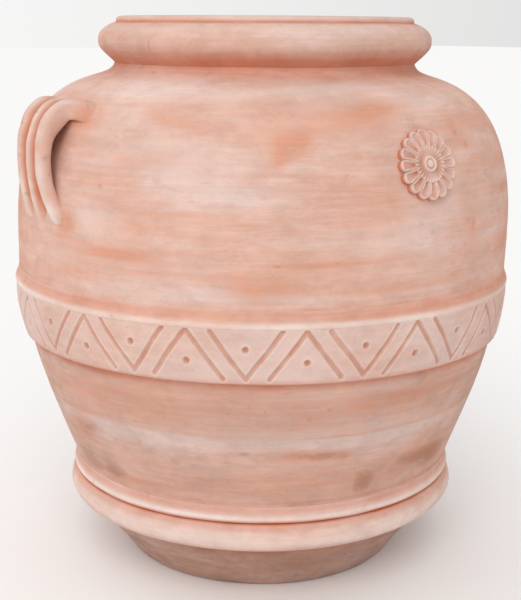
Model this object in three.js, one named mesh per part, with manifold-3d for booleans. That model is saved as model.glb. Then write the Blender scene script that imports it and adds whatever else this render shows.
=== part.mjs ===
// A large terracotta storage jar with a rolled rim, two three-rib strap handles, two pressed
// rosettes and a belt of incised zigzags and dots, built ring by ring from the foot up.
// Units are millimetres and +Z is up. The origin is the centre of the underside, -X is the
// side of handle A and -Y is the side of rosette A.
import * as THREE from "three";
import { mergeVertices } from "three/addons/utils/BufferGeometryUtils.js";
import Module from "manifold-3d";

// ---- Driving dimensions ----
const jarHeight = 600; // underside to lip
const bellyRadius = 274.5; // widest part of the plain wall
const waistRadius = 215.2; // bottom of the plain wall
const baseRadius = 153.7; // outer edge of the underside
const neckRadius = 165.3; // outside of the neck under the rolled rim
const wallThickness = 22;
const floorThickness = 24;
const gap = 0.3; // clearance between any two touching pieces
const sides = 48; // straight sides of every ring

const footHeight = 60;
const rollHeight = 38.2; // round moulding above the foot
const rollReach = 7.3; // how far it stands out from the bottom of the wall
const filletHeight = 18; // small step between the moulding and the wall
const filletReach = 3.5;
const neckHeight = 10; // top of the shoulder to the underside of the rolled rim
const neckFlare = 12.7; // how much wider the neck is where it meets the shoulder
const rimRollReach = 17; // how far the rolled rim stands out from the neck
const rimRollHeight = 43.5;
const lipHeight = 6.5;
const lipSetback = 2; // lip outside, in from the neck radius
const bellyDrop = 155; // widest part, below the top of the shoulder

const beltDrop = 206; // top of the belt, below the top of the shoulder
const beltHeight = 56; // band with the drawn pattern
const beltRidgeHeight = 17;
const beltLetIn = 5; // depth of the belt's seat in the wall
const beltReach = 4.6; // how far the band stands out from the wall
const repeats = 15; // zigzag repeats round the belt
const strokeWidth = 4;
const strokeDepth = 2;
const dotRadius = 3;
const dotDepth = 2.4;
const patternTurn = -3; // degrees from -Y to the first lower dot

const handleDrop = 27; // top of a rib's middle line, below the top of the shoulder
const handleHeight = 112;
const handleReach = 15.5; // outermost face, out from the belly radius
const ribPitch = 20; // spacing of the three ribs of a handle
const ribThickness = 15;

const rosetteDrop = 77.5; // centre of a rosette, below the top of the shoulder
const rosetteRadius = 33;
const rosetteHeight = 7;
const heartRadius = 18;
const petals = 16;

// ---- Levels, counted up from the underside and down from the lip ----
const rollTop = footHeight + rollHeight;
const filletTop = rollTop + filletHeight;
const rimTop = jarHeight - lipHeight;
const rimBottom = rimTop - rimRollHeight;
const shoulderTop = rimBottom - neckHeight;
const bellyLevel = shoulderTop - bellyDrop;
const beltTop = shoulderTop - beltDrop;
const ridgeBottom = beltTop - beltRidgeHeight;
const beltBottom = ridgeBottom - beltHeight;
const handleTop = shoulderTop - handleDrop;
const rosetteLevel = shoulderTop - rosetteDrop;

const wasm = await Module();
wasm.setup();

// ---- Helpers ----
function solidOf(geometry) {
  const bare = geometry.clone();
  bare.deleteAttribute("normal");
  bare.deleteAttribute("uv");
  const merged = mergeVertices(bare, 1e-4);
  return new wasm.Manifold(
    new wasm.Mesh({
      numProp: 3,
      vertProperties: new Float32Array(merged.attributes.position.array),
      triVerts: new Uint32Array(merged.index.array),
    }),
  );
}

function geometryOf(solid) {
  const mesh = solid.getMesh();
  const geometry = new THREE.BufferGeometry();
  geometry.setAttribute("position", new THREE.BufferAttribute(mesh.vertProperties, 3));
  geometry.setIndex(new THREE.BufferAttribute(mesh.triVerts, 1));
  const flat = geometry.toNonIndexed();
  flat.computeVertexNormals();
  return flat;
}

// A ring or disc from a closed outline of [radius, height] points in any order of winding.
function turned(outline, segments = sides) {
  let area = 0;
  outline.forEach(([r, z], i) => {
    const [r2, z2] = outline[(i + 1) % outline.length];
    area += r * z2 - r2 * z;
  });
  const points = (area > 0 ? outline : [...outline].reverse()).map(
    ([r, z]) => new THREE.Vector2(r, z),
  );
  points.push(points[0].clone());
  return new THREE.LatheGeometry(points, segments).rotateX(Math.PI / 2);
}

// ---- Outline of the wall: one curve up to the belly, one over the shoulder ----
const point = (r, z) => new THREE.Vector2(r, z);
const mix = THREE.MathUtils.lerp;
const outlineCurves = [
  new THREE.CubicBezierCurve(
    point(waistRadius, filletTop),
    point(mix(waistRadius, bellyRadius, 0.63), mix(filletTop, bellyLevel, 0.38)),
    point(bellyRadius, mix(filletTop, bellyLevel, 0.55)),
    point(bellyRadius, bellyLevel),
  ),
  new THREE.CubicBezierCurve(
    point(bellyRadius, bellyLevel),
    point(bellyRadius, mix(bellyLevel, shoulderTop, 0.886)),
    point(mix(neckRadius, bellyRadius, 0.348), mix(bellyLevel, shoulderTop, 0.945)),
    point(neckRadius + neckFlare, shoulderTop),
  ),
];
const wallPoints = outlineCurves.flatMap((curve) => curve.getPoints(60));

function wallRadius(z) {
  const i = wallPoints.findIndex((p, n) => n > 0 && p.y >= z && p.y > wallPoints[n - 1].y);
  const end = i < 1 ? wallPoints.length - 1 : i;
  const a = wallPoints[end - 1];
  const b = wallPoints[end];
  return a.x + ((b.x - a.x) * (z - a.y)) / (b.y - a.y);
}

const wallSlope = (z) => (wallRadius(z + 1) - wallRadius(z - 1)) / 2;
const between = (a, b, count) =>
  Array.from({ length: count + 1 }, (_, i) => a + ((b - a) * i) / count);

// The space taken up by the jar itself, with the clearance added: cut from what is stuck on it.
const shoulderBend = mix(bellyLevel, shoulderTop, 0.58);
const shoulderLevels = [
  ...between(beltTop + gap, shoulderBend, 3),
  ...between(shoulderBend, shoulderTop, 7).slice(1),
];
const keepOut = solidOf(
  turned([
    [0, shoulderLevels[0]],
    ...shoulderLevels.map((z) => [wallRadius(z) + gap * Math.hypot(1, wallSlope(z)), z]),
    [0, shoulderTop],
  ]),
);

// ---- Rings of the jar ----
const shape = {};

const footInside = baseRadius - wallThickness;
const footTopRadius = waistRadius - 17;
const footOut = (z) => mix(baseRadius, footTopRadius, z / footHeight);
shape.floor_disc = turned([
  [0, 0],
  [footInside, 0],
  [footInside, floorThickness],
  [0, floorThickness],
]);
shape.foot_wall = turned([
  [footInside + gap, 0],
  [baseRadius - 2, 0],
  [footOut(2.5), 2.5],
  [footTopRadius, footHeight],
  [footTopRadius - wallThickness, footHeight],
  [footOut(floorThickness) - wallThickness, floorThickness],
  [footInside + gap, floorThickness],
]);

const rollRadius = waistRadius + rollReach;
const filletRadius = waistRadius + filletReach;
const rollInside = waistRadius - wallThickness - 2;
// [distance in from the widest point, share of the moulding's height]
const rollStations = [
  [16, 0.06],
  [8.5, 0.15],
  [3.6, 0.25],
  [0.8, 0.37],
  [0, 0.49],
  [0.6, 0.62],
  [2.2, 0.77],
  [4.6, 0.9],
  [7.5, 1],
];
shape.foot_roll = turned([
  [footTopRadius - 0.5, footHeight + gap],
  ...rollStations.map(([inward, share]) => [rollRadius - inward, footHeight + rollHeight * share]),
  [rollInside, rollTop],
  [footTopRadius - wallThickness, footHeight + gap],
]);
shape.foot_fillet = turned([
  [rollRadius - 7.5, rollTop + gap],
  [filletRadius - 0.5, rollTop + filletHeight * 0.09],
  [filletRadius, rollTop + filletHeight * 0.2],
  [filletRadius - 1.1, rollTop + filletHeight * 0.36],
  [filletRadius - 2.7, rollTop + filletHeight * 0.6],
  [wallRadius(filletTop + gap), filletTop],
  [wallRadius(filletTop + gap) - wallThickness, filletTop],
  [rollInside, rollTop + gap],
]);

const seatLevels = [...between(beltBottom, ridgeBottom, 2), beltTop];
const seat = (z) => wallRadius(z) - beltLetIn;
shape.lower_wall = turned([
  ...between(filletTop + gap, beltBottom, 6).map((z) => [wallRadius(z), z]),
  ...seatLevels.map((z) => [seat(z) - gap, z]),
  ...between(beltTop, filletTop + gap, 6).map((z) => [wallRadius(z) - wallThickness, z]),
]);
shape.shoulder_wall = turned([
  ...shoulderLevels.map((z) => [wallRadius(z), z]),
  ...[...shoulderLevels].reverse().map((z) => [wallRadius(z) - wallThickness, z]),
]);
const neckInside = neckRadius - wallThickness;
shape.neck_ring = turned([
  [neckRadius + neckFlare, shoulderTop + gap],
  [neckRadius + neckFlare * 0.43, shoulderTop + neckHeight * 0.2],
  [neckRadius + neckFlare * 0.11, shoulderTop + neckHeight * 0.44],
  [neckRadius, shoulderTop + neckHeight * 0.64],
  [neckRadius, rimBottom],
  [neckInside, rimBottom],
  [neckInside, shoulderTop + neckHeight * 0.6],
  [neckInside + neckFlare, shoulderTop + gap],
]);

// The rolled rim slopes out from the neck to a round edge and rolls over to the lip.
// [share of the reach, share of the roll's height]
const rimStations = [
  [0, 0],
  [0.2, 0.1],
  [0.6, 0.24],
  [0.93, 0.4],
  [1, 0.56],
  [0.94, 0.72],
  [0.77, 0.81],
  [0.4, 0.92],
  [0, 1],
];
shape.rim_roll = turned([
  ...rimStations.map(([out, up]) => [
    neckRadius + rimRollReach * out,
    rimBottom + gap + (rimRollHeight - gap) * up,
  ]),
  [neckInside, rimTop],
  [neckInside, rimBottom + gap],
]);
const lipRadius = neckRadius - lipSetback;
shape.rim_lip = turned([
  [lipRadius, rimTop + gap],
  [lipRadius - 0.6, jarHeight - 1.8],
  [lipRadius - 3.5, jarHeight],
  [neckInside + 4, jarHeight],
  [neckInside, jarHeight - 3],
  [neckInside, rimTop + gap],
]);

// ---- Belt: a band with the zigzag and dots cut in, and a rounded ridge along its top ----
const bandOut = (z) =>
  z < beltBottom + 3
    ? wallRadius(z) + beltReach - 0.8
    : wallRadius(z) + beltReach - (1.6 * (z - beltBottom)) / beltHeight;
const bandSolid = solidOf(
  turned([
    [seat(seatLevels[0]), beltBottom + gap],
    [bandOut(beltBottom), beltBottom + gap],
    ...between(beltBottom + 4, ridgeBottom, 1).map((z) => [bandOut(z), z]),
    [seat(seatLevels[2]), ridgeBottom],
    [seat(seatLevels[1]), seatLevels[1]],
  ]),
);
shape.belt_ridge = turned([
  [seat(seatLevels[2]), ridgeBottom + gap],
  [bandOut(ridgeBottom) + 0.4, ridgeBottom + gap],
  [bandOut(ridgeBottom) + 1.1, ridgeBottom + 4.5],
  [bandOut(ridgeBottom) + 0.3, ridgeBottom + 9.5],
  [wallRadius(beltTop) + 1, beltTop - 3],
  [wallRadius(beltTop), beltTop],
  [seat(beltTop), beltTop],
]);

function onBelt(degrees, z) {
  const turn = THREE.MathUtils.degToRad(degrees);
  const r = bandOut(z);
  return new THREE.Vector3(r * Math.sin(turn), -r * Math.cos(turn), z);
}

// A square bar along the line from a to b, turned so that one edge points into the clay.
function strokeCutter(a, b) {
  const along = b.clone().sub(a).normalize();
  const middle = a.clone().add(b).multiplyScalar(0.5);
  const outward = new THREE.Vector3(middle.x, middle.y, 0).normalize();
  const across = new THREE.Vector3().crossVectors(outward, along).normalize();
  const inward = new THREE.Vector3().crossVectors(across, along);
  const half = strokeDepth + strokeWidth;
  const bar = new THREE.CylinderGeometry(half, half, a.distanceTo(b), 4);
  const place = new THREE.Matrix4().makeBasis(across, along, inward);
  place.setPosition(middle.addScaledVector(inward, strokeDepth - half));
  return solidOf(bar.applyMatrix4(place));
}

function dotCutter(degrees, z) {
  const centre = onBelt(degrees, z);
  const outward = new THREE.Vector3(centre.x, centre.y, 0).normalize();
  const pit = new THREE.CylinderGeometry(dotRadius, dotRadius * 0.6, dotDepth * 2, 6);
  pit.applyQuaternion(
    new THREE.Quaternion().setFromUnitVectors(new THREE.Vector3(0, 1, 0), outward),
  );
  return solidOf(pit.translate(centre.x, centre.y, centre.z));
}

const period = 360 / repeats;
const strokeLow = beltBottom + beltHeight * 0.12;
const strokeHigh = ridgeBottom - beltHeight * 0.1;
const openLeg = period * 0.304; // half spread of a stroke pair at its open end
const dotLow = beltBottom + beltHeight * 0.42;
const dotHigh = beltBottom + beltHeight * 0.66;
const cutters = [];
for (let i = 0; i < repeats; i += 1) {
  const tent = patternTurn + i * period;
  const vee = tent + period / 2;
  for (const side of [-1, 1]) {
    cutters.push(
      strokeCutter(onBelt(tent + side * openLeg, strokeLow), onBelt(tent, strokeHigh)),
    );
    cutters.push(
      strokeCutter(onBelt(vee, strokeLow), onBelt(vee + side * openLeg, strokeHigh)),
    );
  }
  cutters.push(dotCutter(tent, dotLow));
  cutters.push(dotCutter(vee, dotHigh));
}
shape.belt_band = geometryOf(wasm.Manifold.difference([bandSolid, ...cutters]));

// ---- Handles: three ribs side by side, spreading where they are smeared onto the wall ----
const ribWidth = ribPitch - gap;
const ribSection = new THREE.Shape(
  Array.from({ length: 10 }, (_, i) => {
    const a = (i * 2 * Math.PI) / 10;
    return new THREE.Vector2((ribWidth / 2) * Math.cos(a), (ribThickness / 2) * Math.sin(a));
  }),
);
// [distance in from the outermost point, share of the handle's height down, sideways spread]
const ribStations = [
  [64, 0.02, 1.34],
  [48, 0, 1.26],
  [32, 0.01, 1.16],
  [18, 0.054, 1.08],
  [7, 0.152, 1.02],
  [1, 0.316, 1],
  [0, 0.49, 1],
  [1.5, 0.68, 1.01],
  [4, 0.84, 1.06],
  [9, 1, 1.17],
];

function ribGeometry(side) {
  const reach = bellyRadius + handleReach - ribThickness / 2;
  const stations = ribStations.map(
    ([inward, down, spread]) =>
      new THREE.Vector3(inward - reach, side * ribPitch * spread, handleTop - handleHeight * down),
  );
  const rib = new THREE.ExtrudeGeometry(ribSection, {
    steps: 14,
    bevelEnabled: false,
    extrudePath: new THREE.CatmullRomCurve3(stations),
  });
  const tip = new THREE.SphereGeometry(1, 10, 5);
  tip.scale(ribThickness / 2, ribWidth / 2, 9);
  const foot = stations[stations.length - 1];
  tip.translate(foot.x, foot.y, foot.z);
  const smear = new THREE.SphereGeometry(1, 10, 6);
  smear.scale(26, ribWidth / 2 + (side === 0 ? 0 : 2), ribThickness * 0.56);
  const root = stations[1];
  smear.translate(root.x, root.y + side * 2.2, root.z);
  return geometryOf(
    solidOf(rib).add(solidOf(tip)).add(solidOf(smear)).subtract(keepOut),
  );
}

// ---- Rosettes: sixteen scooped petals round a heart with a ring and a boss ----
// Built flat, facing +Y outward from the wall at the origin, then bent to the shoulder.
function petalPlate() {
  const outline = [];
  for (let i = 0; i < petals * 3; i += 1) {
    const a = (i * 2 * Math.PI) / (petals * 3);
    const r = rosetteRadius - (i % 3 === 0 ? 3.9 : 0);
    outline.push(new THREE.Vector2(r * Math.sin(a), r * Math.cos(a)));
  }
  const plate = new THREE.ExtrudeGeometry(new THREE.Shape(outline), {
    depth: rosetteHeight + 16,
    bevelEnabled: false,
  });
  plate.translate(0, 0, -16);
  const hollows = [];
  for (let i = 0; i < petals; i += 1) {
    const a = ((i + 0.5) * 2 * Math.PI) / petals;
    const hollow = new THREE.SphereGeometry(1, 6, 4);
    hollow.scale(3.8, 6.9, 3);
    hollow.translate(0, (rosetteRadius + heartRadius) / 2 + 1, rosetteHeight + 0.6);
    hollow.rotateZ(-a);
    hollows.push(solidOf(hollow));
  }
  const well = new THREE.CylinderGeometry(heartRadius + gap, heartRadius + gap, 60, 24);
  well.rotateX(Math.PI / 2);
  return wasm.Manifold.difference([solidOf(plate), ...hollows, solidOf(well)]);
}

function heartPlate() {
  const top = rosetteHeight;
  return solidOf(
    turned(
      [
        [0, -16],
        [heartRadius, -16],
        [heartRadius, top - 0.6],
        [heartRadius - 2.5, top + 0.4],
        [9, top - 1.8],
        [8, top],
        [5.4, top],
        [4.8, top - 1.6],
        [3, top + 0.2],
        [0, top + 0.6],
      ],
      24,
    ),
  );
}

function onShoulder(solid) {
  const geometry = geometryOf(solid);
  const spot = geometry.attributes.position;
  const r = wallRadius(rosetteLevel);
  const lean = Math.atan(-wallSlope(rosetteLevel));
  for (let i = 0; i < spot.count; i += 1) {
    const sag = spot.getX(i) ** 2 / (2 * r) + spot.getY(i) ** 2 / 330;
    spot.setZ(i, spot.getZ(i) - sag);
  }
  geometry.rotateX(Math.PI / 2 - lean);
  geometry.translate(0, -r, rosetteLevel);
  return geometryOf(solidOf(geometry).subtract(keepOut));
}

shape.rosette_petals = onShoulder(petalPlate());
shape.rosette_heart = onShoulder(heartPlate());

// ---- Clay colours ----
const clay = {
  plain: { color: "#d3a58d", roughness: 0.86 },
  pale: { color: "#dcb9a8", roughness: 0.9 },
  warm: { color: "#cf9475", roughness: 0.84 },
  dark: { color: "#a97c65", roughness: 0.9 },
};

function meshOf(name, geometry, tone) {
  const material = new THREE.MeshStandardMaterial({ ...clay[tone], metalness: 0 });
  material.name = `${name}_clay`;
  const mesh = new THREE.Mesh(geometry, material);
  mesh.name = name;
  return mesh;
}

const jar = new THREE.Group();
jar.name = "jar";
const tones = {
  floor_disc: "dark",
  foot_wall: "dark",
  foot_roll: "plain",
  foot_fillet: "plain",
  lower_wall: "plain",
  belt_band: "pale",
  belt_ridge: "pale",
  shoulder_wall: "plain",
  neck_ring: "warm",
  rim_roll: "plain",
  rim_lip: "pale",
};
for (const [name, tone] of Object.entries(tones)) {
  jar.add(meshOf(name, shape[name], tone));
}

// Handle A and rosette A face -X and -Y; the B pieces are the same pieces half a turn round.
for (const [letter, turn] of [["a", 0], ["b", Math.PI]]) {
  const half = new THREE.Group();
  half.rotation.z = turn;
  ["far", "middle", "near"].forEach((place, i) => {
    half.add(meshOf(`handle_${letter}_rib_${place}`, ribGeometry(1 - i), "warm"));
  });
  half.add(meshOf(`rosette_${letter}_petals`, shape.rosette_petals.clone(), "plain"));
  half.add(meshOf(`rosette_${letter}_heart`, shape.rosette_heart.clone(), "plain"));
  jar.add(half);
}

export default jar;
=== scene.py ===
"""A large terracotta storage jar: rings, belt, rim, handles and rosettes with their fired-clay finishes."""

import math
from functools import partial

import bmesh
import bpy
import numpy as np
from mathutils import Matrix, Vector


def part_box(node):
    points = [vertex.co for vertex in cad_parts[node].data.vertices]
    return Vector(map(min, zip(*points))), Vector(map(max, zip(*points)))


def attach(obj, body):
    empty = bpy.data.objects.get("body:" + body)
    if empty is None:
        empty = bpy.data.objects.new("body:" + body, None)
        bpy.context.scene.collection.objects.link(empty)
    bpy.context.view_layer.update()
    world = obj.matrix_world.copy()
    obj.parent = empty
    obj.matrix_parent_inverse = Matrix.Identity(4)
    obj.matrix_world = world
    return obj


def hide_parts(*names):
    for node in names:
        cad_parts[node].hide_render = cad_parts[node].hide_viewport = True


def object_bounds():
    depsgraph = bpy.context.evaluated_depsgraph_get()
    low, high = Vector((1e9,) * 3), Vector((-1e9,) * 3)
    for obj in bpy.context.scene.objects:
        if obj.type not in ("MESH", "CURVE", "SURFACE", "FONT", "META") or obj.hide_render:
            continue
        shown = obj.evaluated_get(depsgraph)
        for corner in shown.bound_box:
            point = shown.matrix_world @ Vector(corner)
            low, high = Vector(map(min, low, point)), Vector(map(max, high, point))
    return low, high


bl_info = {
    "name": "Terracotta Jar",
    "version": (1, 0, 0),
    "blender": (4, 5, 0),
    "location": "3D View > Sidebar > Jar",
    "description": "Builds a terracotta jar with strap handles, rosettes and an incised belt",
    "category": "Add Mesh",
}

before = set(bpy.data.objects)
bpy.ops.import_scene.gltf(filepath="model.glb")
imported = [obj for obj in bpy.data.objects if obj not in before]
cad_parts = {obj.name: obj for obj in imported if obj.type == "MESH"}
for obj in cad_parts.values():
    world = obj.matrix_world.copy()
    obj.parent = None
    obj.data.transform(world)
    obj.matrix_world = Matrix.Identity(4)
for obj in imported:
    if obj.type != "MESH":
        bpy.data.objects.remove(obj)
CAD_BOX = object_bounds()
MM = 0.001


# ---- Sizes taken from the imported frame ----
def low(node):
    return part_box(node)[0].z


def high(node):
    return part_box(node)[1].z


def reach(node):
    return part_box(node)[1].x


WALL = 22 * MM
JAR_TOP = high("rim_lip")
BELLY = reach("shoulder_wall")
BASE = reach("floor_disc") + WALL
ROLL_BOTTOM = low("foot_roll")
ROLL_TOP = high("foot_roll")
FILLET_TOP = high("foot_fillet")
BELT_LOW = low("belt_band")
BELT_HIGH = high("belt_band")
RIDGE_TOP = high("belt_ridge")
SHOULDER_TOP = high("shoulder_wall")
ROLL_LOW = low("rim_roll")
RIM_TOP = high("rim_roll")
LIP_RADIUS = reach("rim_lip")
NECK = LIP_RADIUS + 2 * MM
RIM_REACH = reach("rim_roll") - NECK
MOULDING = reach("foot_roll")
WAIST = MOULDING - 7.3 * MM
BELLY_LEVEL = SHOULDER_TOP - 155 * MM
TIDE = BELT_LOW - 63 * MM
FOOT_TOP = WAIST - 17 * MM
SHOULDER_EDGE = NECK + 12.7 * MM
ROSETTE_LEVEL = (low("rosette_a_petals") + high("rosette_a_petals")) / 2
ROSETTE_BACK = -3 * MM  # how deep a rosette sits in the wall
ZIGZAG_START = math.radians(-3)

# Points round a spun ring.
PLAIN_RING = 384
FINE_RING = 448
RIDGE_RING = 512
SHOULDER_RING = 560
BELT_RING = 1536
# Spacing of points on faces that don't show.
HIDDEN_STEP = 9 * MM


# ---- Properties a user would change ----
def size(name, text, value):
    return bpy.props.FloatProperty(
        name=name, description=text, default=value, unit="LENGTH", subtype="DISTANCE", precision=5
    )


def count(name, text, value, least):
    return bpy.props.IntProperty(name=name, description=text, default=value, min=least)


def tone(name, text, value):
    return bpy.props.FloatVectorProperty(
        name=name, description=text, default=value, subtype="COLOR", size=3, min=0, max=1
    )


def linear(r, g, b):
    """Linear colour from 0-255 display values."""
    return tuple(
        v / 12.92 if v <= 0.04045 else ((v + 0.055) / 1.055) ** 2.4 for v in (r / 255, g / 255, b / 255)
    )


class JarSizes(bpy.types.PropertyGroup):
    """Sizes of the jar's details"""

    wobble: size("Wobble", "How far the thrown wall wanders from a true circle", 0.8 * MM)
    wheel_marks: size("Wheel marks", "Depth of the fine rings left by the wheel", 0.16 * MM)
    dents: size("Dents", "Depth of the soft hollows left by the hands", 0.55 * MM)
    flat_side: size("Flat side", "How far one side of the belly is pressed in", 3.4 * MM)
    neck_shift: size("Neck shift", "How far the neck and rim sit off centre", 2.0 * MM)
    stroke_width: size("Stroke width", "Width of a stroke of the zigzag", 5.4 * MM)
    stroke_depth: size("Stroke depth", "Depth of a stroke of the zigzag", 2.3 * MM)
    burr: size("Burr", "Height of the clay pushed up beside a stroke", 0.38 * MM)
    dot_radius: size("Dot radius", "Radius of a poked dot", 4.0 * MM)
    dot_depth: size("Dot depth", "Depth of a poked dot", 3.2 * MM)
    rosette_radius: size("Rosette radius", "Middle to petal tip", 33 * MM)
    rosette_height: size("Rosette height", "How far the petals stand out from the wall", 7 * MM)
    rib_pitch: size("Rib pitch", "Spacing of the three ribs of a handle", 19.8 * MM)
    rib_thickness: size("Rib thickness", "Thickness of a rib", 15 * MM)
    repeats: count("Zigzag repeats", "Pairs of tents and vees round the belt", 15, 3)
    petals: count("Petals", "Petals of a rosette", 16, 5)
    rays: count("Rays", "Fine rays of a rosette's heart", 28, 8)


class JarColours(bpy.types.PropertyGroup):
    """Colours of the clay and the floor"""

    mid: tone("Clay", "Main colour of the fired clay", linear(213, 168, 149))
    pale: tone("Pale wash", "Pinkish slip wiped over the clay", linear(220, 192, 182))
    # This colour paints highlights on edges and rims as well as the chalky bloom.
    bloom_and_highlight: tone("Bloom", "Chalky bloom on edges and ridges", linear(232, 213, 204))
    warm: tone("Warm clay", "Bare orange clay in hollows and wipes", linear(209, 145, 117))
    # Deep is the orange clay of the creases and also the painted shade in them.
    deep: tone("Deep clay", "Darkest orange in the tight creases", linear(204, 121, 86))
    stain: tone("Stain", "Brown marks and specks", linear(170, 120, 96))
    floor: tone("Floor", "Pale floor", (0.93, 0.93, 0.93))


def sizes():
    return bpy.context.scene.jar_sizes


def colours():
    return bpy.context.scene.jar_colours


# ---- Small sums ----
def smooth(x):
    """Eased step from 0 to 1."""
    x = np.clip(x, 0, 1)
    return x * x * (3 - 2 * x)


def mix(a, b, share):
    return a + (b - a) * share


# ---- Noise and the hand of the potter ----
STILL_RADIUS = 60 * MM  # unevenness fades out towards the axis from here


def lattice(points, seed):
    """Smooth noise from -1 to 1 at each point of an (n, 3) array."""
    cell = np.floor(points)
    f = points - cell
    f = f * f * f * (f * (f * 6 - 15) + 10)
    total = np.zeros(len(points))
    for corner in np.ndindex(2, 2, 2):
        c = cell + corner
        h = np.sin(c @ np.array([127.1, 311.7, 74.7]) + seed * 19.19) * 43758.5453
        h -= np.floor(h)
        weight = np.prod(np.where(corner, f, 1 - f), axis=1)
        total += weight * h
    return total * 2 - 1


def layered(points, seed, octaves=3):
    """Noise from -1 to 1 with finer, weaker layers added."""
    total, share = np.zeros(len(points)), 0.0
    for k in range(octaves):
        total += lattice(points * 2.03**k + 17.3 * k, seed + k) * 0.5**k
        share += 0.5**k
    return total / share


def turn_of(co):
    """Angle round the axis from -Y towards +X, in radians."""
    return np.arctan2(co[:, 0], -co[:, 1])


def bump_at(co, turn, level, wide, tall):
    """Soft hump: 1 at a turn in degrees and a height, fading over wide degrees and tall metres."""
    away = (np.degrees(turn_of(co)) - turn + 180) % 360 - 180
    return np.exp(-((away / wide) ** 2) - ((co[:, 2] - level) / tall) ** 2)


def settled(co):
    """Moves points as the drying jar settles: out of round, a little flat on one side, neck off centre."""
    s = sizes()
    turn, z = turn_of(co), co[:, 2]
    r = np.maximum(np.hypot(co[:, 0], co[:, 1]), 1e-6)
    out = s.wobble * (
        0.5 * np.sin(2 * turn + 0.6 + 5 * z)
        + 0.3 * np.sin(3 * turn - 1.9 + 9 * z)
        + 0.2 * np.sin(5 * turn + 2.2)
    )
    out -= s.flat_side * bump_at(co, -116, 0.425, 34, 0.085)
    out += 0.55 * s.flat_side * bump_at(co, -122, 0.305, 26, 0.028)
    fade = np.clip(r / STILL_RADIUS, 0, 1)
    waves = np.sin(3 * turn + 1.2) * 0.5 + np.sin(5 * turn - 0.4) * 0.3 + np.sin(9 * turn + 2) * 0.2
    rise = 0.55 * MM * waves
    rise *= np.clip(z / (50 * MM), 0, 1) * np.clip((JAR_TOP - z) / (40 * MM), 0, 1)
    lean = smooth((z - SHOULDER_TOP + 30 * MM) / (50 * MM)) * s.neck_shift
    moved = co.copy()
    moved[:, 0] += co[:, 0] / r * out * fade + lean * 0.81
    moved[:, 1] += co[:, 1] / r * out * fade - lean * 0.59
    moved[:, 2] += rise * fade
    return moved


def worked(co, lift=0.0):
    """The settled shape with the marks of the wheel and two hands; lift adds to it, outward."""
    s = sizes()
    turn, z = turn_of(co), co[:, 2]
    r = np.maximum(np.hypot(co[:, 0], co[:, 1]), 1e-6)
    ring = np.stack([np.cos(turn) * 0.8, np.sin(turn) * 0.8, z / (5.5 * MM)], 1)
    out = s.wheel_marks * layered(ring, 3, 2) + s.dents * layered(co / (52 * MM), 11, 3)
    out += 0.12 * s.dents * layered(co / (11 * MM), 12, 2)
    out = out * np.clip(r / STILL_RADIUS, 0, 1) + lift
    moved = settled(co)
    moved[:, 0] += co[:, 0] / r * out
    moved[:, 1] += co[:, 1] / r * out
    return moved


# Smudges on the outside: turn in degrees, height, half width in degrees, half height,
# tilt in mm a degree, strength.
WARM_SMUDGES = (
    (-30, 0.484, 4.5, 0.010, 0.8, 1.0), (-33, 0.470, 5, 0.008, 2.4, 0.8), (-65, 0.380, 7.5, 0.0045, 0.2, 1.2),
    (-80, 0.404, 3.0, 0.013, 0, 1.3), (-80, 0.504, 5.0, 0.012, 0, 1.4), (-86, 0.508, 7, 0.014, 0, 0.7),
    (-57, 0.506, 9, 0.008, -0.7, 0.7),
    (-36, 0.353, 7, 0.012, 0, 0.9), (-7, 0.516, 10, 0.008, 0.4, 0.75), (-68, 0.378, 16, 0.013, 0, 0.45),
    (-22, 0.377, 14, 0.003, 0.1, 0.9), (-20, 0.500, 14, 0.012, 0.6, 0.45), (-14, 0.440, 12, 0.02, 0, 0.35),
    (-45, 0.365, 18, 0.005, 0, 0.5), (-5, 0.352, 14, 0.008, 0, 0.5), (22, 0.50, 12, 0.010, -0.4, 0.5),
    (12, 0.494, 1.8, 0.012, 0, 0.6),
    (14.5, 0.479, 3.0, 0.006, 0, 0.6), (12.5, 0.40, 3.5, 0.03, -3, 0.5),
    (-70, 0.450, 8, 0.020, 0, 0.3), (-60, 0.468, 9, 0.010, 0.5, 0.35), (-48, 0.415, 14, 0.012, 0.1, 0.3),
    (-66, 0.233, 22, 0.016, 0, 0.45), (-30, 0.238, 20, 0.018, 0, 0.45), (0, 0.236, 16, 0.011, 0.3, 0.7),
    (-36, 0.145, 60, 0.024, 0, 0.50), (-22.5, 0.1775, 9.5, 0.007, -0.3, 1.1), (-87, 0.178, 5, 0.016, 0, 0.9),
    (14, 0.153, 9, 0.012, -0.4, 0.8), (-8, 0.138, 5, 0.012, 0, 0.25), (-76, 0.128, 14, 0.006, 0, 0.8),
)
PALE_SMUDGES = (
    (-47, 0.452, 13, 0.028, 0, 1.0), (-40, 0.530, 40, 0.008, 0, 0.55), (-72, 0.405, 7, 0.020, 0, 0.7),
    (-22, 0.200, 30, 0.0095, 0, 1.2), (-64, 0.194, 16, 0.010, 0, 0.9), (-12, 0.400, 18, 0.010, 0, 0.5),
    (4, 0.425, 8, 0.016, 0, 0.5), (-84, 0.370, 14, 0.010, 0, 0.5), (-30, 0.345, 40, 0.0035, 0, 0.8),
    (8, 0.205, 14, 0.012, 0.5, 0.8), (-40, 0.110, 60, 0.004, 0, 0.5), (5, 0.52, 14, 0.006, 0, 0.6),
)
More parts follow.
